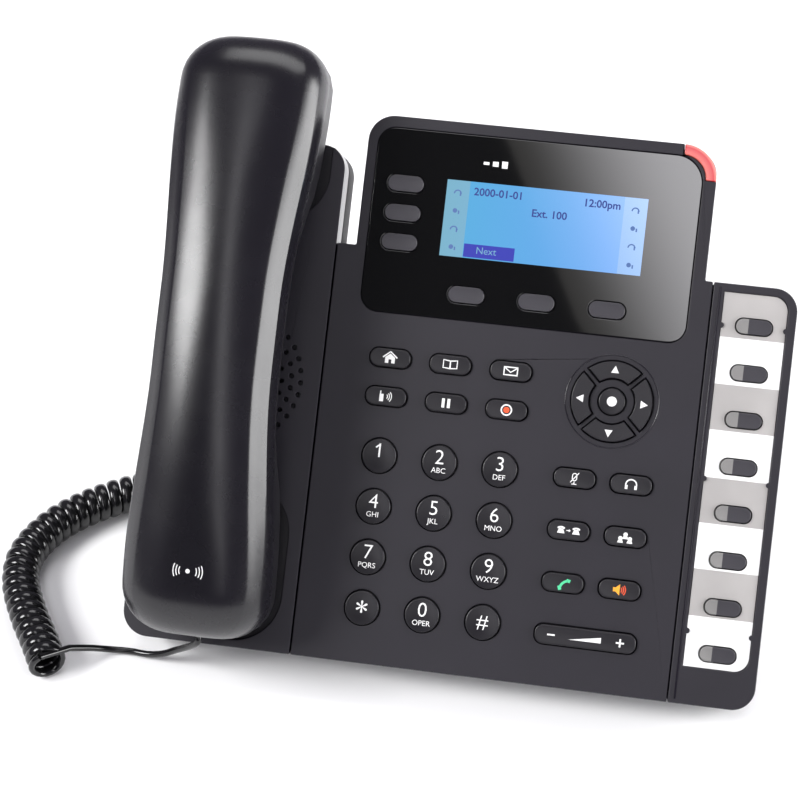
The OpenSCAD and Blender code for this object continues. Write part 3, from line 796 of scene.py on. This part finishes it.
class PHONE_OT_handset(bpy.types.Operator):
    """Model the handset: its creased back shell, its front shell and the mark on it"""

    bl_idname = "phone.handset"
    bl_label = "Handset"

    def execute(self, context):
        stations = [
            HANDSET_LEN * (1 - math.cos(math.pi * i / HANDSET_RINGS)) / 2
            for i in range(HANDSET_RINGS + 1)
        ]
        stations[0] = 0.02
        stations[-1] = HANDSET_LEN - 0.02
        sections = [[(x, y, z) for x, z in back_section(y)] for y in stations]
        back = loft("handset_back_shell", sections)
        start(back)
        bpy.ops.object.shade_smooth_by_angle(angle=math.radians(28))
        finish_piece(back, "handset_back_shell", HANDSET, FINISH["handset"],
                     ["handset_back"], HANDSET_AT)
        front = shell_copy("handset_front", "handset_front_shell", 0.15 * MM, 50)
        start(front)
        bpy.ops.object.shade_smooth_by_angle(angle=math.radians(40))
        finish_piece(front, "handset_front_shell", HANDSET, FINISH["cup"],
                     ["handset_front"])
        arcs = [disc_mark(0, 0, 0.75, FINISH["white"])]
        for turn in (0, 180):
            for r in (3.0, 4.0, 5.0):
                arcs.append(line_mark(
                    arc_points(0, 0, r, turn - 26, turn + 26, 8), 0.32, FINISH["white"]
                ))
        sound = join_pieces(arcs)
        sound.data.transform(Matrix.Translation((0, 23 * MM, 40 * MM)))
        apply_onto(sound, back, HANDSET_AT)
        finish_piece(sound, "handset_sound_mark", HANDSET, None, (), HANDSET_AT)
        return {"FINISHED"}


def apply_onto(thin, target, at):
    """Lays a thin mark down along the face's normal onto a piece that is already in place."""
    normal = TO_FACE.to_3x3() @ Vector((0, 0, 1))
    move = TO_FACE @ Matrix.Translation((at[0] * MM, at[1] * MM, 0))
    back = move.inverted()
    for vertex in thin.data.vertices:
        place = move @ vertex.co
        found, hit, _, _ = target.ray_cast(place + normal * 0.02, -normal)
        if found:
            height = (back @ hit).z
            vertex.co.z = height + (0.03 * MM if vertex.co.z > 40 * MM else -0.08 * MM)


# ---------------------------------------------------------------- keys


def round_cap(width, crown):
    """A round key: straight sides, a narrow bevelled rim and a swelling top."""
    bpy.ops.object.select_all(action="DESELECT")
    top = KEY_TOP * MM - crown
    depth = top - KEY_FOOT * MM
    bpy.ops.mesh.primitive_cylinder_add(
        vertices=48, radius=width / 2, depth=depth, location=(0, 0, top - depth / 2)
    )
    piece = bpy.context.view_layer.objects.active
    bpy.ops.object.transform_apply(location=True, rotation=True, scale=True)
    bpy.ops.object.mode_set(mode="EDIT")
    top_face(piece)
    bpy.ops.mesh.inset(thickness=0.7 * MM)
    radius = width / 2 - 0.7 * MM
    bow = (radius * radius + crown * crown) / (2 * crown)
    height = 0.0
    ring = radius
    for share in (0.8, 0.6, 0.4, 0.2):
        new_ring = radius * share
        bpy.ops.mesh.inset(thickness=ring - new_ring)
        new_height = math.sqrt(bow * bow - new_ring * new_ring) - (bow - crown)
        bpy.ops.transform.translate(value=(0, 0, new_height - height))
        ring, height = new_ring, new_height
    bpy.ops.object.mode_set(mode="OBJECT")
    soften(piece, 0.32 * MM, 35.0, 3)
    piece.data.materials.append(FINISH["key"])
    return piece


def pill_cap(size, corner, top, finish, dish=0.0, foot=KEY_FOOT):
    """A long key: rounded block with a soft rim; dish lowers or raises the field inside the rim."""
    bpy.ops.object.select_all(action="DESELECT")
    depth = (top - foot) * MM
    bpy.ops.mesh.primitive_cube_add(size=1, location=(0, 0, (top + foot) / 2 * MM))
    piece = bpy.context.view_layer.objects.active
    piece.scale = (size[0] * MM, size[1] * MM, depth)
    bpy.ops.object.transform_apply(location=True, rotation=True, scale=True)
    bpy.ops.object.mode_set(mode="EDIT")
    pick(piece, "edges", lambda e: abs(e.verts[0].co.z - e.verts[1].co.z) > depth / 2)
    bpy.ops.mesh.bevel(
        offset=corner * MM, segments=9, affect="EDGES", offset_type="OFFSET", clamp_overlap=False
    )
    top_face(piece)
    bpy.ops.mesh.inset(thickness=0.65 * MM)
    bpy.ops.transform.translate(value=(0, 0, dish * MM))
    bpy.ops.object.mode_set(mode="OBJECT")
    soften(piece, 0.28 * MM, 30.0, 3)
    piece.data.materials.append(finish)
    return piece


def cut_finely(marks, step, reach):
    """Cuts marks across at even steps, so that they can follow a swelling top."""
    start(marks)
    bpy.ops.object.mode_set(mode="EDIT")
    for k in range(-reach, reach + 1):
        for way in ((1, 0, 0), (0, 1, 0)):
            bpy.ops.mesh.select_all(action="SELECT")
            place = Vector(way) * k * step * MM
            bpy.ops.mesh.bisect(plane_co=place, plane_no=way)
    bpy.ops.object.mode_set(mode="OBJECT")


def seat_marks(cap, marks, top, swells=False):
    """Sets a key's printed marks on its top, following its swell."""
    marks = join_pieces(marks)
    if swells:
        cut_finely(marks, 0.9, 5)
    for vertex in marks.data.vertices:
        found, hit, _, _ = cap.ray_cast(Vector((vertex.co.x, vertex.co.y, 0.01)), Vector((0, 0, -1)))
        vertex.co.z += hit.z if found else top * MM
    return join_pieces([cap, marks])


class PHONE_OT_digit_keys(bpy.types.Operator):
    """Model the twelve digit keys with their numbers and letters"""

    bl_idname = "phone.digit_keys"
    bl_label = "Digit keys"

    def execute(self, context):
        s = sizes()
        for i, name in enumerate(DIGITS):
            cap = round_cap(s.digit_width, s.key_crown)
            marks = []
            low = DIGIT_LETTERS[i] != ""
            up = 1.6 if low or name == "1" else 0.2
            if name == "star":
                marks.append(letters(DIGIT_MARKS[i], 9.5, 0, -1.5, FINISH["white"], 0.05))
            else:
                marks.append(letters(DIGIT_MARKS[i], 7.1, 0, up, FINISH["white"], -0.05))
            if name == "1":
                marks.append(line_mark([(-1.3, 2.8), (-0.1, 3.85)], 0.55, FINISH["white"]))
            if low:
                marks.append(letters(DIGIT_LETTERS[i], 2.6, 0, -2.8, FINISH["white"]))
            cap = seat_marks(cap, marks, KEY_TOP, True)
            if name == "5":
                bpy.ops.object.select_all(action="DESELECT")
                bpy.ops.mesh.primitive_uv_sphere_add(
                    segments=12, ring_count=8, radius=0.42 * MM, location=(4.0 * MM, -0.6 * MM, 1.05 * MM)
                )
                pip = context.view_layer.objects.active
                bpy.ops.object.transform_apply(location=True, rotation=True, scale=True)
                bpy.ops.object.shade_smooth()
                pip.data.materials.append(FINISH["key"])
                cap = join_pieces([cap, pip])
            at = (PAD[0] + (i % 3 - 1) * PAD_PITCH[0], PAD[1] - (i // 3) * PAD_PITCH[1])
            finish_piece(cap, f"cap_{name}", f"key_{name}_body", None,
                         [f"key_{name}"], at)
        return {"FINISHED"}


def home_icon(w):
    roof = line_mark([(-2.5, 0.1), (0, 2.2), (2.5, 0.1)], 0.5, w)
    house = mark(
        [(-1.7, -1.8), (-0.5, -1.8), (-0.5, -0.5), (0.5, -0.5), (0.5, -1.8), (1.7, -1.8), (1.7, 0.2),
         (0, 1.55), (-1.7, 0.2)], w)
    return [roof, house]


def book_icon(w):
    left = line_mark([(0, -1.4), (-2.4, -1.2), (-2.4, 1.5), (0, 1.2)], 0.42, w)
    right = line_mark([(0, -1.4), (2.4, -1.2), (2.4, 1.5), (0, 1.2)], 0.42, w)
    return [left, right, box_mark(0, -0.1, 0.45, 2.9, w)]


def envelope_icon(w):
    return frame_mark(0, 0, 4.6, 2.7, 0.42, w) + [line_mark([(-2.2, 1.2), (0, -0.4), (2.2, 1.2)], 0.42, w)]


def intercom_icon(w):
    parts = [box_mark(-1.5, -0.5, 1.4, 2.6, w), box_mark(-1.9, 1.3, 0.4, 1.2, w)]
    for r in (1.0, 1.7, 2.4):
        parts.append(line_mark(arc_points(-0.4, 0, r, -42, 42, 8), 0.3, w))
    return parts


def hold_icon(w):
    return [box_mark(-0.95, 0, 1.0, 3.2, w), box_mark(0.95, 0, 1.0, 3.2, w)]


def record_icon(w):
    ring = [line_mark(arc_points(0, 0, 1.75, 0, 180, 16), 0.5, w),
            line_mark(arc_points(0, 0, 1.75, 180, 360, 16), 0.5, w)]
    return ring + [disc_mark(0, 0, 1.05, FINISH["red"])]


def mute_icon(w):
    parts = [line_mark(arc_points(0, 0.9, 0.75, 0, 180, 10), 0.3, w),
             line_mark(arc_points(0, -0.1, 0.75, 180, 360, 10), 0.3, w)]
    parts += [box_mark(-0.75, 0.4, 0.3, 1.1, w), box_mark(0.75, 0.4, 0.3, 1.1, w)]
    parts += [line_mark([(-1.3, -1.5), (1.4, 1.9)], 0.32, w), box_mark(0, -1.6, 0.3, 0.9, w)]
    return parts + [box_mark(0, -2.05, 1.7, 0.3, w)]


def headset_icon(w):
    band = line_mark(arc_points(0, -0.1, 1.85, -10, 190, 16), 0.45, w)
    return [band, box_mark(-1.6, -0.9, 0.9, 1.4, w), box_mark(1.6, -0.9, 0.9, 1.4, w)]


def small_phone(x, w):
    body = mark([(x - 1.3, -1.1), (x + 1.3, -1.1), (x + 0.7, 0.5), (x - 0.7, 0.5)], w)
    return [body, line_mark(arc_points(x, -0.9, 1.9, 50, 130, 8), 0.55, w)]


def transfer_icon(w):
    arrow = mark([(0.7, 0), (0.1, 0.5), (0.1, -0.5)], w)
    return small_phone(-2.6, w) + small_phone(2.6, w) + [box_mark(-0.3, 0, 0.9, 0.3, w), arrow]


def conference_icon(w):
    parts = []
    for x, y in ((-1.6, -0.5), (1.6, -0.5), (0, 0.9)):
        parts.append(disc_mark(x, y, 0.75, w))
        parts.append(mark([(x - 1.0, y - 1.5), (x + 1.0, y - 1.5), (x + 0.7, y - 0.6), (x - 0.7, y - 0.6)], w))
    return parts


def send_icon(w):
    green = FINISH["green"]
    bow = line_mark(arc_points(2.2, -2.2, 3.1, 98, 172, 12), 0.85, green)
    ear = line_mark([(1.2, 1.1), (2.5, 0.7)], 1.1, green)
    mouth = line_mark([(-0.7, -2.4), (-1.2, -1.0)], 1.1, green)
    return [bow, ear, mouth]


def speaker_icon(w):
    orange = FINISH["orange"]
    horn = mark([(-2.2, -0.7), (-1.3, -0.7), (0.1, -1.9), (0.1, 1.9), (-1.3, 0.7), (-2.2, 0.7)], orange)
    waves = [line_mark(arc_points(-0.5, 0, r, -38, 38, 8), 0.3, FINISH["red"]) for r in (1.3, 1.95, 2.6)]
    return [horn] + waves


ICONS = {
    "home": home_icon, "phonebook": book_icon, "message": envelope_icon,
    "intercom": intercom_icon, "hold": hold_icon, "record": record_icon,
    "mute": mute_icon, "headset": headset_icon, "transfer": transfer_icon,
    "conference": conference_icon, "send": send_icon, "speaker": speaker_icon,
}


class PHONE_OT_function_keys(bpy.types.Operator):
    """Model the twelve function keys with their icons"""

    bl_idname = "phone.function_keys"
    bl_label = "Function keys"

    def execute(self, context):
        places = {}
        for i, name in enumerate(UPPER_KEYS):
            places[name] = (PAD[0] + (i % 3 - 1) * PAD_PITCH[0], UPPER_ROWS[0] - (i // 3) * UPPER_ROWS[1])
        for i, name in enumerate(LOWER_KEYS):
            places[name] = (
                LOWER_KEYS_AT[0] + (i % 2 - 0.5) * LOWER_PITCH[0],
                LOWER_KEYS_AT[1] - (i // 2) * LOWER_PITCH[1],
            )
        for name, at in places.items():
            cap = pill_cap(FUNCTION_SIZE, 2.8, KEY_TOP, FINISH["key"], -0.05)
            cap = seat_marks(cap, ICONS[name](FINISH["white"]), KEY_TOP)
            finish_piece(cap, f"cap_{name}", f"{name}_key_body", None, [f"{name}_key"], at)
        return {"FINISHED"}


class PHONE_OT_navigation(bpy.types.Operator):
    """Model the four arrow keys, the select key and the volume rocker"""

    bl_idname = "phone.navigation"
    bl_label = "Navigation and volume"

    def execute(self, context):
        white = FINISH["white"]
        at_nav = Matrix.Translation((NAV_AT[0] * MM, NAV_AT[1] * MM, 0))
        for i, name in enumerate(ARROWS):
            cap = shell_copy(f"{name}_key", f"cap_{name}", 0.3 * MM)
            cap.data.transform((TO_FACE @ at_nav).inverted())
            cap.data.materials.clear()
            cap.data.materials.append(FINISH["key"])
            arrow = mark([(-1.35, 9.8), (1.35, 9.8), (0, 12.3)], white)
            arrow.data.transform(Matrix.Rotation(math.radians(90 * i), 4, "Z"))
            cap = seat_marks(cap, [arrow], KEY_TOP)
            finish_piece(cap, f"cap_{name}", f"{name}_key_body", None, [f"{name}_key"], NAV_AT)
        cap = round_cap(9 * MM, 0.15 * MM)
        cap = seat_marks(cap, [disc_mark(0, 0, 1.7, white)], KEY_TOP)
        finish_piece(cap, "cap_select", "select_key_body", None, ["select_key"], NAV_AT)
        bpy.ops.object.select_all(action="DESELECT")
        bpy.ops.mesh.primitive_torus_add(
            major_radius=NAV_RING * MM, minor_radius=0.22 * MM, major_segments=96, minor_segments=8
        )
        ring = bpy.context.view_layer.objects.active
        bpy.ops.object.shade_smooth()
        finish_piece(ring, "navigation_ring", BODY, FINISH["side"], (), NAV_AT)
        cap = pill_cap(VOLUME_SIZE, 2.8, KEY_TOP, FINISH["key"], -0.05, KEY_FOOT - 0.7)
        marks = [
            box_mark(-11.7, 0, 2.6, 0.55, white), box_mark(11.9, 0, 2.8, 0.6, white),
            box_mark(11.9, 0, 0.6, 2.8, white), mark([(-5.6, -0.9), (5.4, -0.9), (5.4, 1.0)], white),
        ]
        cap = seat_marks(cap, marks, KEY_TOP)
        finish_piece(cap, "cap_volume", "volume", None, ["volume_rocker"], VOLUME_AT)
        return {"FINISHED"}


# ---------------------------------------------------------------- display


class PHONE_OT_display(bpy.types.Operator):
    """Model the glossy lens, the lit screen with its readout and the keys in the lens"""

    bl_idname = "phone.display"
    bl_label = "Lens and display"

    def execute(self, context):
        lens = shell_copy("display_lens", "lens", 0.22 * MM)
        finish_piece(lens, "lens", BODY, FINISH["lens"], ["display_lens"])
        x, y, w, h = WINDOW
        column = 8.0
        top = 0.22
        plates = []
        for at, width, finish in (
            (x, w - 2 * column, "screen"),
            (x - w / 2 + column / 2, column, "column"),
            (x + w / 2 - column / 2, column, "column"),
        ):
            outline = [
                (at - width / 2, y - h / 2), (at + width / 2, y - h / 2),
                (at + width / 2, y + h / 2), (at - width / 2, y + h / 2),
            ]
            plates.append(mark(outline, FINISH[finish], top - 0.2, top))
        left = x - w / 2
        dark = FINISH["screen_ink"]
        readout = [
            letters("2000-01-01", 3.7, x - 16.6, y + 9.8, dark, 0.07),
            letters("12:00pm", 3.7, x + 19.2, y + 9.8, dark, 0.07),
            letters("Ext. 100", 3.7, x + 1.5, y + 4.4, dark, 0.07),
            box_mark(left + column + 9, y - 10.6, 17.6, 4.6, FINISH["bar_ink"]),
        ]
        word = letters("Next", 3.4, left + column + 8, y - 10.4, FINISH["column"])
        word.data.transform(Matrix.Translation((0, 0, 0.02 * MM)))
        readout.append(word)
        faint = FINISH["faint_ink"]
        for side in (-1, 1):
            middle = x + side * (w / 2 - column / 2)
            for k in range(4):
                height = y + 9 - 6.3 * k
                if (k + side) % 2:
                    readout.append(line_mark(arc_points(middle, height - 0.4, 1.2, 0, 180, 8), 0.45, faint))
                else:
                    readout.append(disc_mark(middle - 0.3, height, 0.8, faint))
                readout.append(box_mark(middle + 1.0, height - 0.5, 0.5, 1.2, faint))
        printed = join_pieces(readout)
        printed.data.transform(Matrix.Translation((0, 0, top * MM)))
        screen = join_pieces(plates + [printed])
        finish_piece(screen, "screen", BODY, None, ["display_module"], (0, 0))
        logo = [box_mark(-1 + 3.2 * k, 0, 2.0, 1.0 + 0.7 * k, FINISH["white"]) for k in range(3)]
        badge = join_pieces(logo)
        badge.data.transform(Matrix.Translation((0, 176.5 * MM, top * MM)))
        finish_piece(badge, "lens_badge", BODY, None, (), (0, 0))
        for i, name in enumerate(("left", "middle", "right")):
            cap = pill_cap(SLIM_SIZE, 2.65, KEY_TOP, FINISH["slim"], -0.12)
            at = (21.5 + (i - 1) * 24.3, 130.4)
            finish_piece(cap, f"cap_soft_{name}", f"soft_key_{name}_body", None,
                         [f"soft_key_{name}"], at)
        caps = []
        for i in range(3):
            cap = pill_cap(SLIM_SIZE, 2.65, KEY_TOP, FINISH["slim"], -0.12)
            cap.data.transform(Matrix.Translation((-28 * MM, (156.5 + (i - 1) * 10.2) * MM, 0)))
            caps.append(cap)
        finish_piece(join_pieces(caps), "caps_line", "line_keys_body", None, ["line_keys"], (0, 0))
        return {"FINISHED"}


class PHONE_OT_lamp(bpy.types.Operator):
    """Model the message lamp in the housing's corner"""

    bl_idname = "phone.lamp"
    bl_label = "Message lamp"

    def execute(self, context):
        lamp = shell_copy("message_lamp", "lamp", 0.4 * MM)
        finish_piece(lamp, "lamp", BODY, FINISH["lamp"], ["message_lamp"])
        return {"FINISHED"}


# ---------------------------------------------------------------- speed-dial side


SPEED_AT = (96, 18)
SPEED_PITCH = 16
SPEED_WINDOW = -1.9    # where a speed-dial key's clear part ends
LABEL_EDGES = (84.9, 106.8)
NUB_ROWS = (25, 77, 129.6)
LABEL_STEPS = [30.3, 46.3, 62.0, 77.6, 93.9, 109.6, 125.7]


class PHONE_OT_speed_dial(bpy.types.Operator):
    """Model the striped label strip and the eight speed-dial keys"""

    bl_idname = "phone.speed_dial"
    bl_label = "Speed-dial side"

    def execute(self, context):
        strip = shell_copy("label_strip", "label", 0)
        strip.data.transform(TO_FACE.inverted())
        start(strip)
        bpy.ops.object.mode_set(mode="EDIT")
        for step in LABEL_STEPS:
            bpy.ops.mesh.select_all(action="SELECT")
            bpy.ops.mesh.bisect(plane_co=(0, step * MM, 0), plane_no=(0, 1, 0))
        bpy.ops.object.mode_set(mode="OBJECT")
        strip.data.materials.clear()
        strip.data.materials.append(FINISH["grey_paper"])
        strip.data.materials.append(FINISH["white_paper"])
        for face in strip.data.polygons:
            below = sum(1 for step in LABEL_STEPS if face.center.y > step * MM)
            face.material_index = (below + 1) % 2
        finish_piece(strip, "label", BODY, None, ["label_strip"], (0, 0))
        nubs = []
        for x in LABEL_EDGES:
            for y in NUB_ROWS:
                nubs.append(mark(arc_points(x, y, 0.95, 0, 345, 23), FINISH["shell"], -0.6, 0.05))
        finish_piece(join_pieces(nubs), "label_retainers", BODY, None, (), (0, 0))
        for name, first in (("lower", 0), ("upper", 4)):
            caps = []
            for i in range(first, first + 4):
                cap = pill_cap(SPEED_SIZE, 2.45, 0.4, FINISH["slim"], -0.1)
                cap.data.materials.append(FINISH["window"])
                start(cap)
                bpy.ops.object.mode_set(mode="EDIT")
                bpy.ops.mesh.select_all(action="SELECT")
                bpy.ops.mesh.bisect(plane_co=(SPEED_WINDOW * MM, 0, 0), plane_no=(1, 0, 0))
                bpy.ops.object.mode_set(mode="OBJECT")
                for face in cap.data.polygons:
                    if face.center.x < SPEED_WINDOW * MM and face.normal.z > 0.2:
                        face.material_index = 1
                cap.data.transform(Matrix.Translation(
                    (SPEED_AT[0] * MM, (SPEED_AT[1] + i * SPEED_PITCH) * MM, 0)
                ))
                caps.append(cap)
            finish_piece(join_pieces(caps), f"caps_speed_{name}", f"speed_dial_keys_{name}_body",
                         None, [f"speed_dial_keys_{name}"], (0, 0))
        return {"FINISHED"}


# ---------------------------------------------------------------- rear details and inner pieces


class PHONE_OT_fittings(bpy.types.Operator):
    """Finish the sockets, screws, plugs and inner pieces"""

    bl_idname = "phone.fittings"
    bl_label = "Fittings"

    def execute(self, context):
        for node, body, slot, finish in (
            ("jack_sockets", BODY, "jack_black", "jack"),
            ("handset_plug", HANDSET, "plug_clear", "clear"),
            ("base_plug", BODY, "plug_clear", "clear"),
            ("case_screws", BODY, "screw_steel", "steel"),
        ):
            piece = shell_copy(node, node + "_finished", 0.2 * MM)
            finish_piece(piece, node + "_finished", body, FINISH[finish], [node])
        for node, finish in (
            ("main_board", "board"), ("keypad_mat", "silicone"), ("loudspeaker", "cone"),
            ("hook_switch", "jack"), ("earpiece", "steel"), ("microphone", "steel"),
        ):
            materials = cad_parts[node].data.materials
            materials.clear()
            materials.append(FINISH[finish])
        return {"FINISHED"}


# ---------------------------------------------------------------- stage


CARD_AT = (-0.1165, -0.6893, 0.7152)
CARD_EDGE = (0.8894, 0.3163, 0.3301)
STUDIO = (0.2, 0.188, 0.232, 1)
CARD_DARK = (0.04, 0.04, 0.045, 1)
CARD_LIT = (0.35, 0.34, 0.33, 1)
CARD_FAR = (4.1, 4.05, 4.2, 1)
CARD_SPAN = 0.075      # how far past its edge the card takes to reach its full brightness
CARD_END = 0.13


def area_light(name, place, target, size, power, colour=(1, 1, 1)):
    light = bpy.data.lights.new(name, "AREA")
    light.shape = "RECTANGLE"
    light.size, light.size_y = size
    light.energy = power
    light.color = colour
    lamp = bpy.data.objects.new(name, light)
    lamp.location = place
    way = Vector(target) - Vector(place)
    lamp.rotation_euler = way.to_track_quat("-Z", "Y").to_euler()
    bpy.context.scene.collection.objects.link(lamp)
    return lamp


class PHONE_OT_stage(bpy.types.Operator):
    """Set up the camera, the pale floor and the soft studio light"""

    bl_idname = "phone.stage"
    bl_label = "Stage"

    def execute(self, context):
        scene = context.scene
        scene.view_settings.view_transform = "Standard"
        camera_data = bpy.data.cameras.new("camera")
        camera_data.lens = 101.25
        camera_data.sensor_width = 36
        camera = bpy.data.objects.new("camera", camera_data)
        camera.location = (0.0691, -0.5594, 0.6170)
        camera.rotation_euler = (math.radians(46.43), 0, math.radians(9.256))
        scene.collection.objects.link(camera)
        scene.camera = camera
        bpy.ops.object.select_all(action="DESELECT")
        bpy.ops.mesh.primitive_plane_add(size=8, location=(0, 0, -0.0002))
        floor = context.view_layer.objects.active
        floor.name = "floor"
        material, shader = base_finish("floor_paper", (0.93, 0.93, 0.93, 1), 0.9)
        add_grain(material, shader, 60.0, 0.02)
        floor.data.materials.append(material)
        self.world(scene)
        area_light("softbox_left", (-0.84, -0.46, 0.80), (-0.06, 0, 0.1), (0.5, 0.42), 14.5)
        area_light("softbox_top", (0.1, 0.6, 1.1), (0, 0, 0.05), (1.2, 0.6), 8)
        area_light("strip_right", (0.8, 0.02, 0.26), (-0.05, 0, 0.12), (0.9, 0.42), 13)
        return {"FINISHED"}

    def world(self, scene):
        """A pale studio with a dark card in front of the face, cut off along a slanted edge."""
        world = bpy.data.worlds.new("studio")
        scene.world = world
        world.use_nodes = True
        tree = world.node_tree
        place = tree.nodes.new("ShaderNodeTexCoord")

        def toward(way, low, high):
            dot = tree.nodes.new("ShaderNodeVectorMath")
            dot.operation = "DOT_PRODUCT"
            dot.inputs[1].default_value = way
            tree.links.new(place.outputs["Generated"], dot.inputs[0])
            span = tree.nodes.new("ShaderNodeMapRange")
            span.interpolation_type = "SMOOTHSTEP"
            span.inputs["From Min"].default_value = low
            span.inputs["From Max"].default_value = high
            tree.links.new(dot.outputs["Value"], span.inputs["Value"])
            return span.outputs["Result"]

        def mixed(share, first, second):
            mix = tree.nodes.new("ShaderNodeMix")
            mix.data_type = "RGBA"
            tree.links.new(share, mix.inputs["Factor"])
            for socket, value in zip((mix.inputs[6], mix.inputs[7]), (first, second)):
                if isinstance(value, tuple):
                    socket.default_value = value
                else:
                    tree.links.new(value, socket)
            return mix.outputs[2]

        lit_side = toward(CARD_EDGE, -0.0004, 0.0004)
        far_side = toward(CARD_EDGE, 0.0, CARD_SPAN)
        past_end = toward(CARD_EDGE, CARD_END, CARD_END + 0.06)
        near_card = toward(CARD_AT, 0.82, 0.9)
        lit = mixed(far_side, CARD_LIT, CARD_FAR)
        card = mixed(past_end, mixed(lit_side, CARD_DARK, lit), STUDIO)
        sky = mixed(near_card, STUDIO, card)
        tree.links.new(sky, tree.nodes["Background"].inputs["Color"])


# ---------------------------------------------------------------- add-on


class PHONE_PT_panel(bpy.types.Panel):
    bl_idname = "PHONE_PT_panel"
    bl_label = "Desk telephone"
    bl_space_type = "VIEW_3D"
    bl_region_type = "UI"
    bl_category = "Telephone"

    def draw(self, context):
        column = self.layout.column()
        for group in (context.scene.phone_sizes, context.scene.phone_colours):
            for key in group.bl_rna.properties.keys():
                if key not in ("rna_type", "name"):
                    column.prop(group, key)
        for operator in OPERATORS:
            column.operator(operator.bl_idname)


OPERATORS = (
    PHONE_OT_stage,
    PHONE_OT_cord,
    PHONE_OT_covers,
    PHONE_OT_handset,
    PHONE_OT_digit_keys,
    PHONE_OT_function_keys,
    PHONE_OT_navigation,
    PHONE_OT_display,
    PHONE_OT_lamp,
    PHONE_OT_speed_dial,
    PHONE_OT_fittings,
)
CLASSES = (PhoneSizes, PhoneColours, *OPERATORS, PHONE_PT_panel)


def register():
    for entry in CLASSES:
        bpy.utils.register_class(entry)
    bpy.types.Scene.phone_sizes = PointerProperty(type=PhoneSizes)
    bpy.types.Scene.phone_colours = PointerProperty(type=PhoneColours)


def unregister():
    del bpy.types.Scene.phone_sizes
    del bpy.types.Scene.phone_colours
    for entry in reversed(CLASSES):
        bpy.utils.unregister_class(entry)


def main():
    register()
    FINISH.update(make_finishes())
    for operator in OPERATORS:
        group, name = operator.bl_idname.split(".")
        getattr(getattr(bpy.ops, group), name)()


if __name__ == "__main__":
    main()
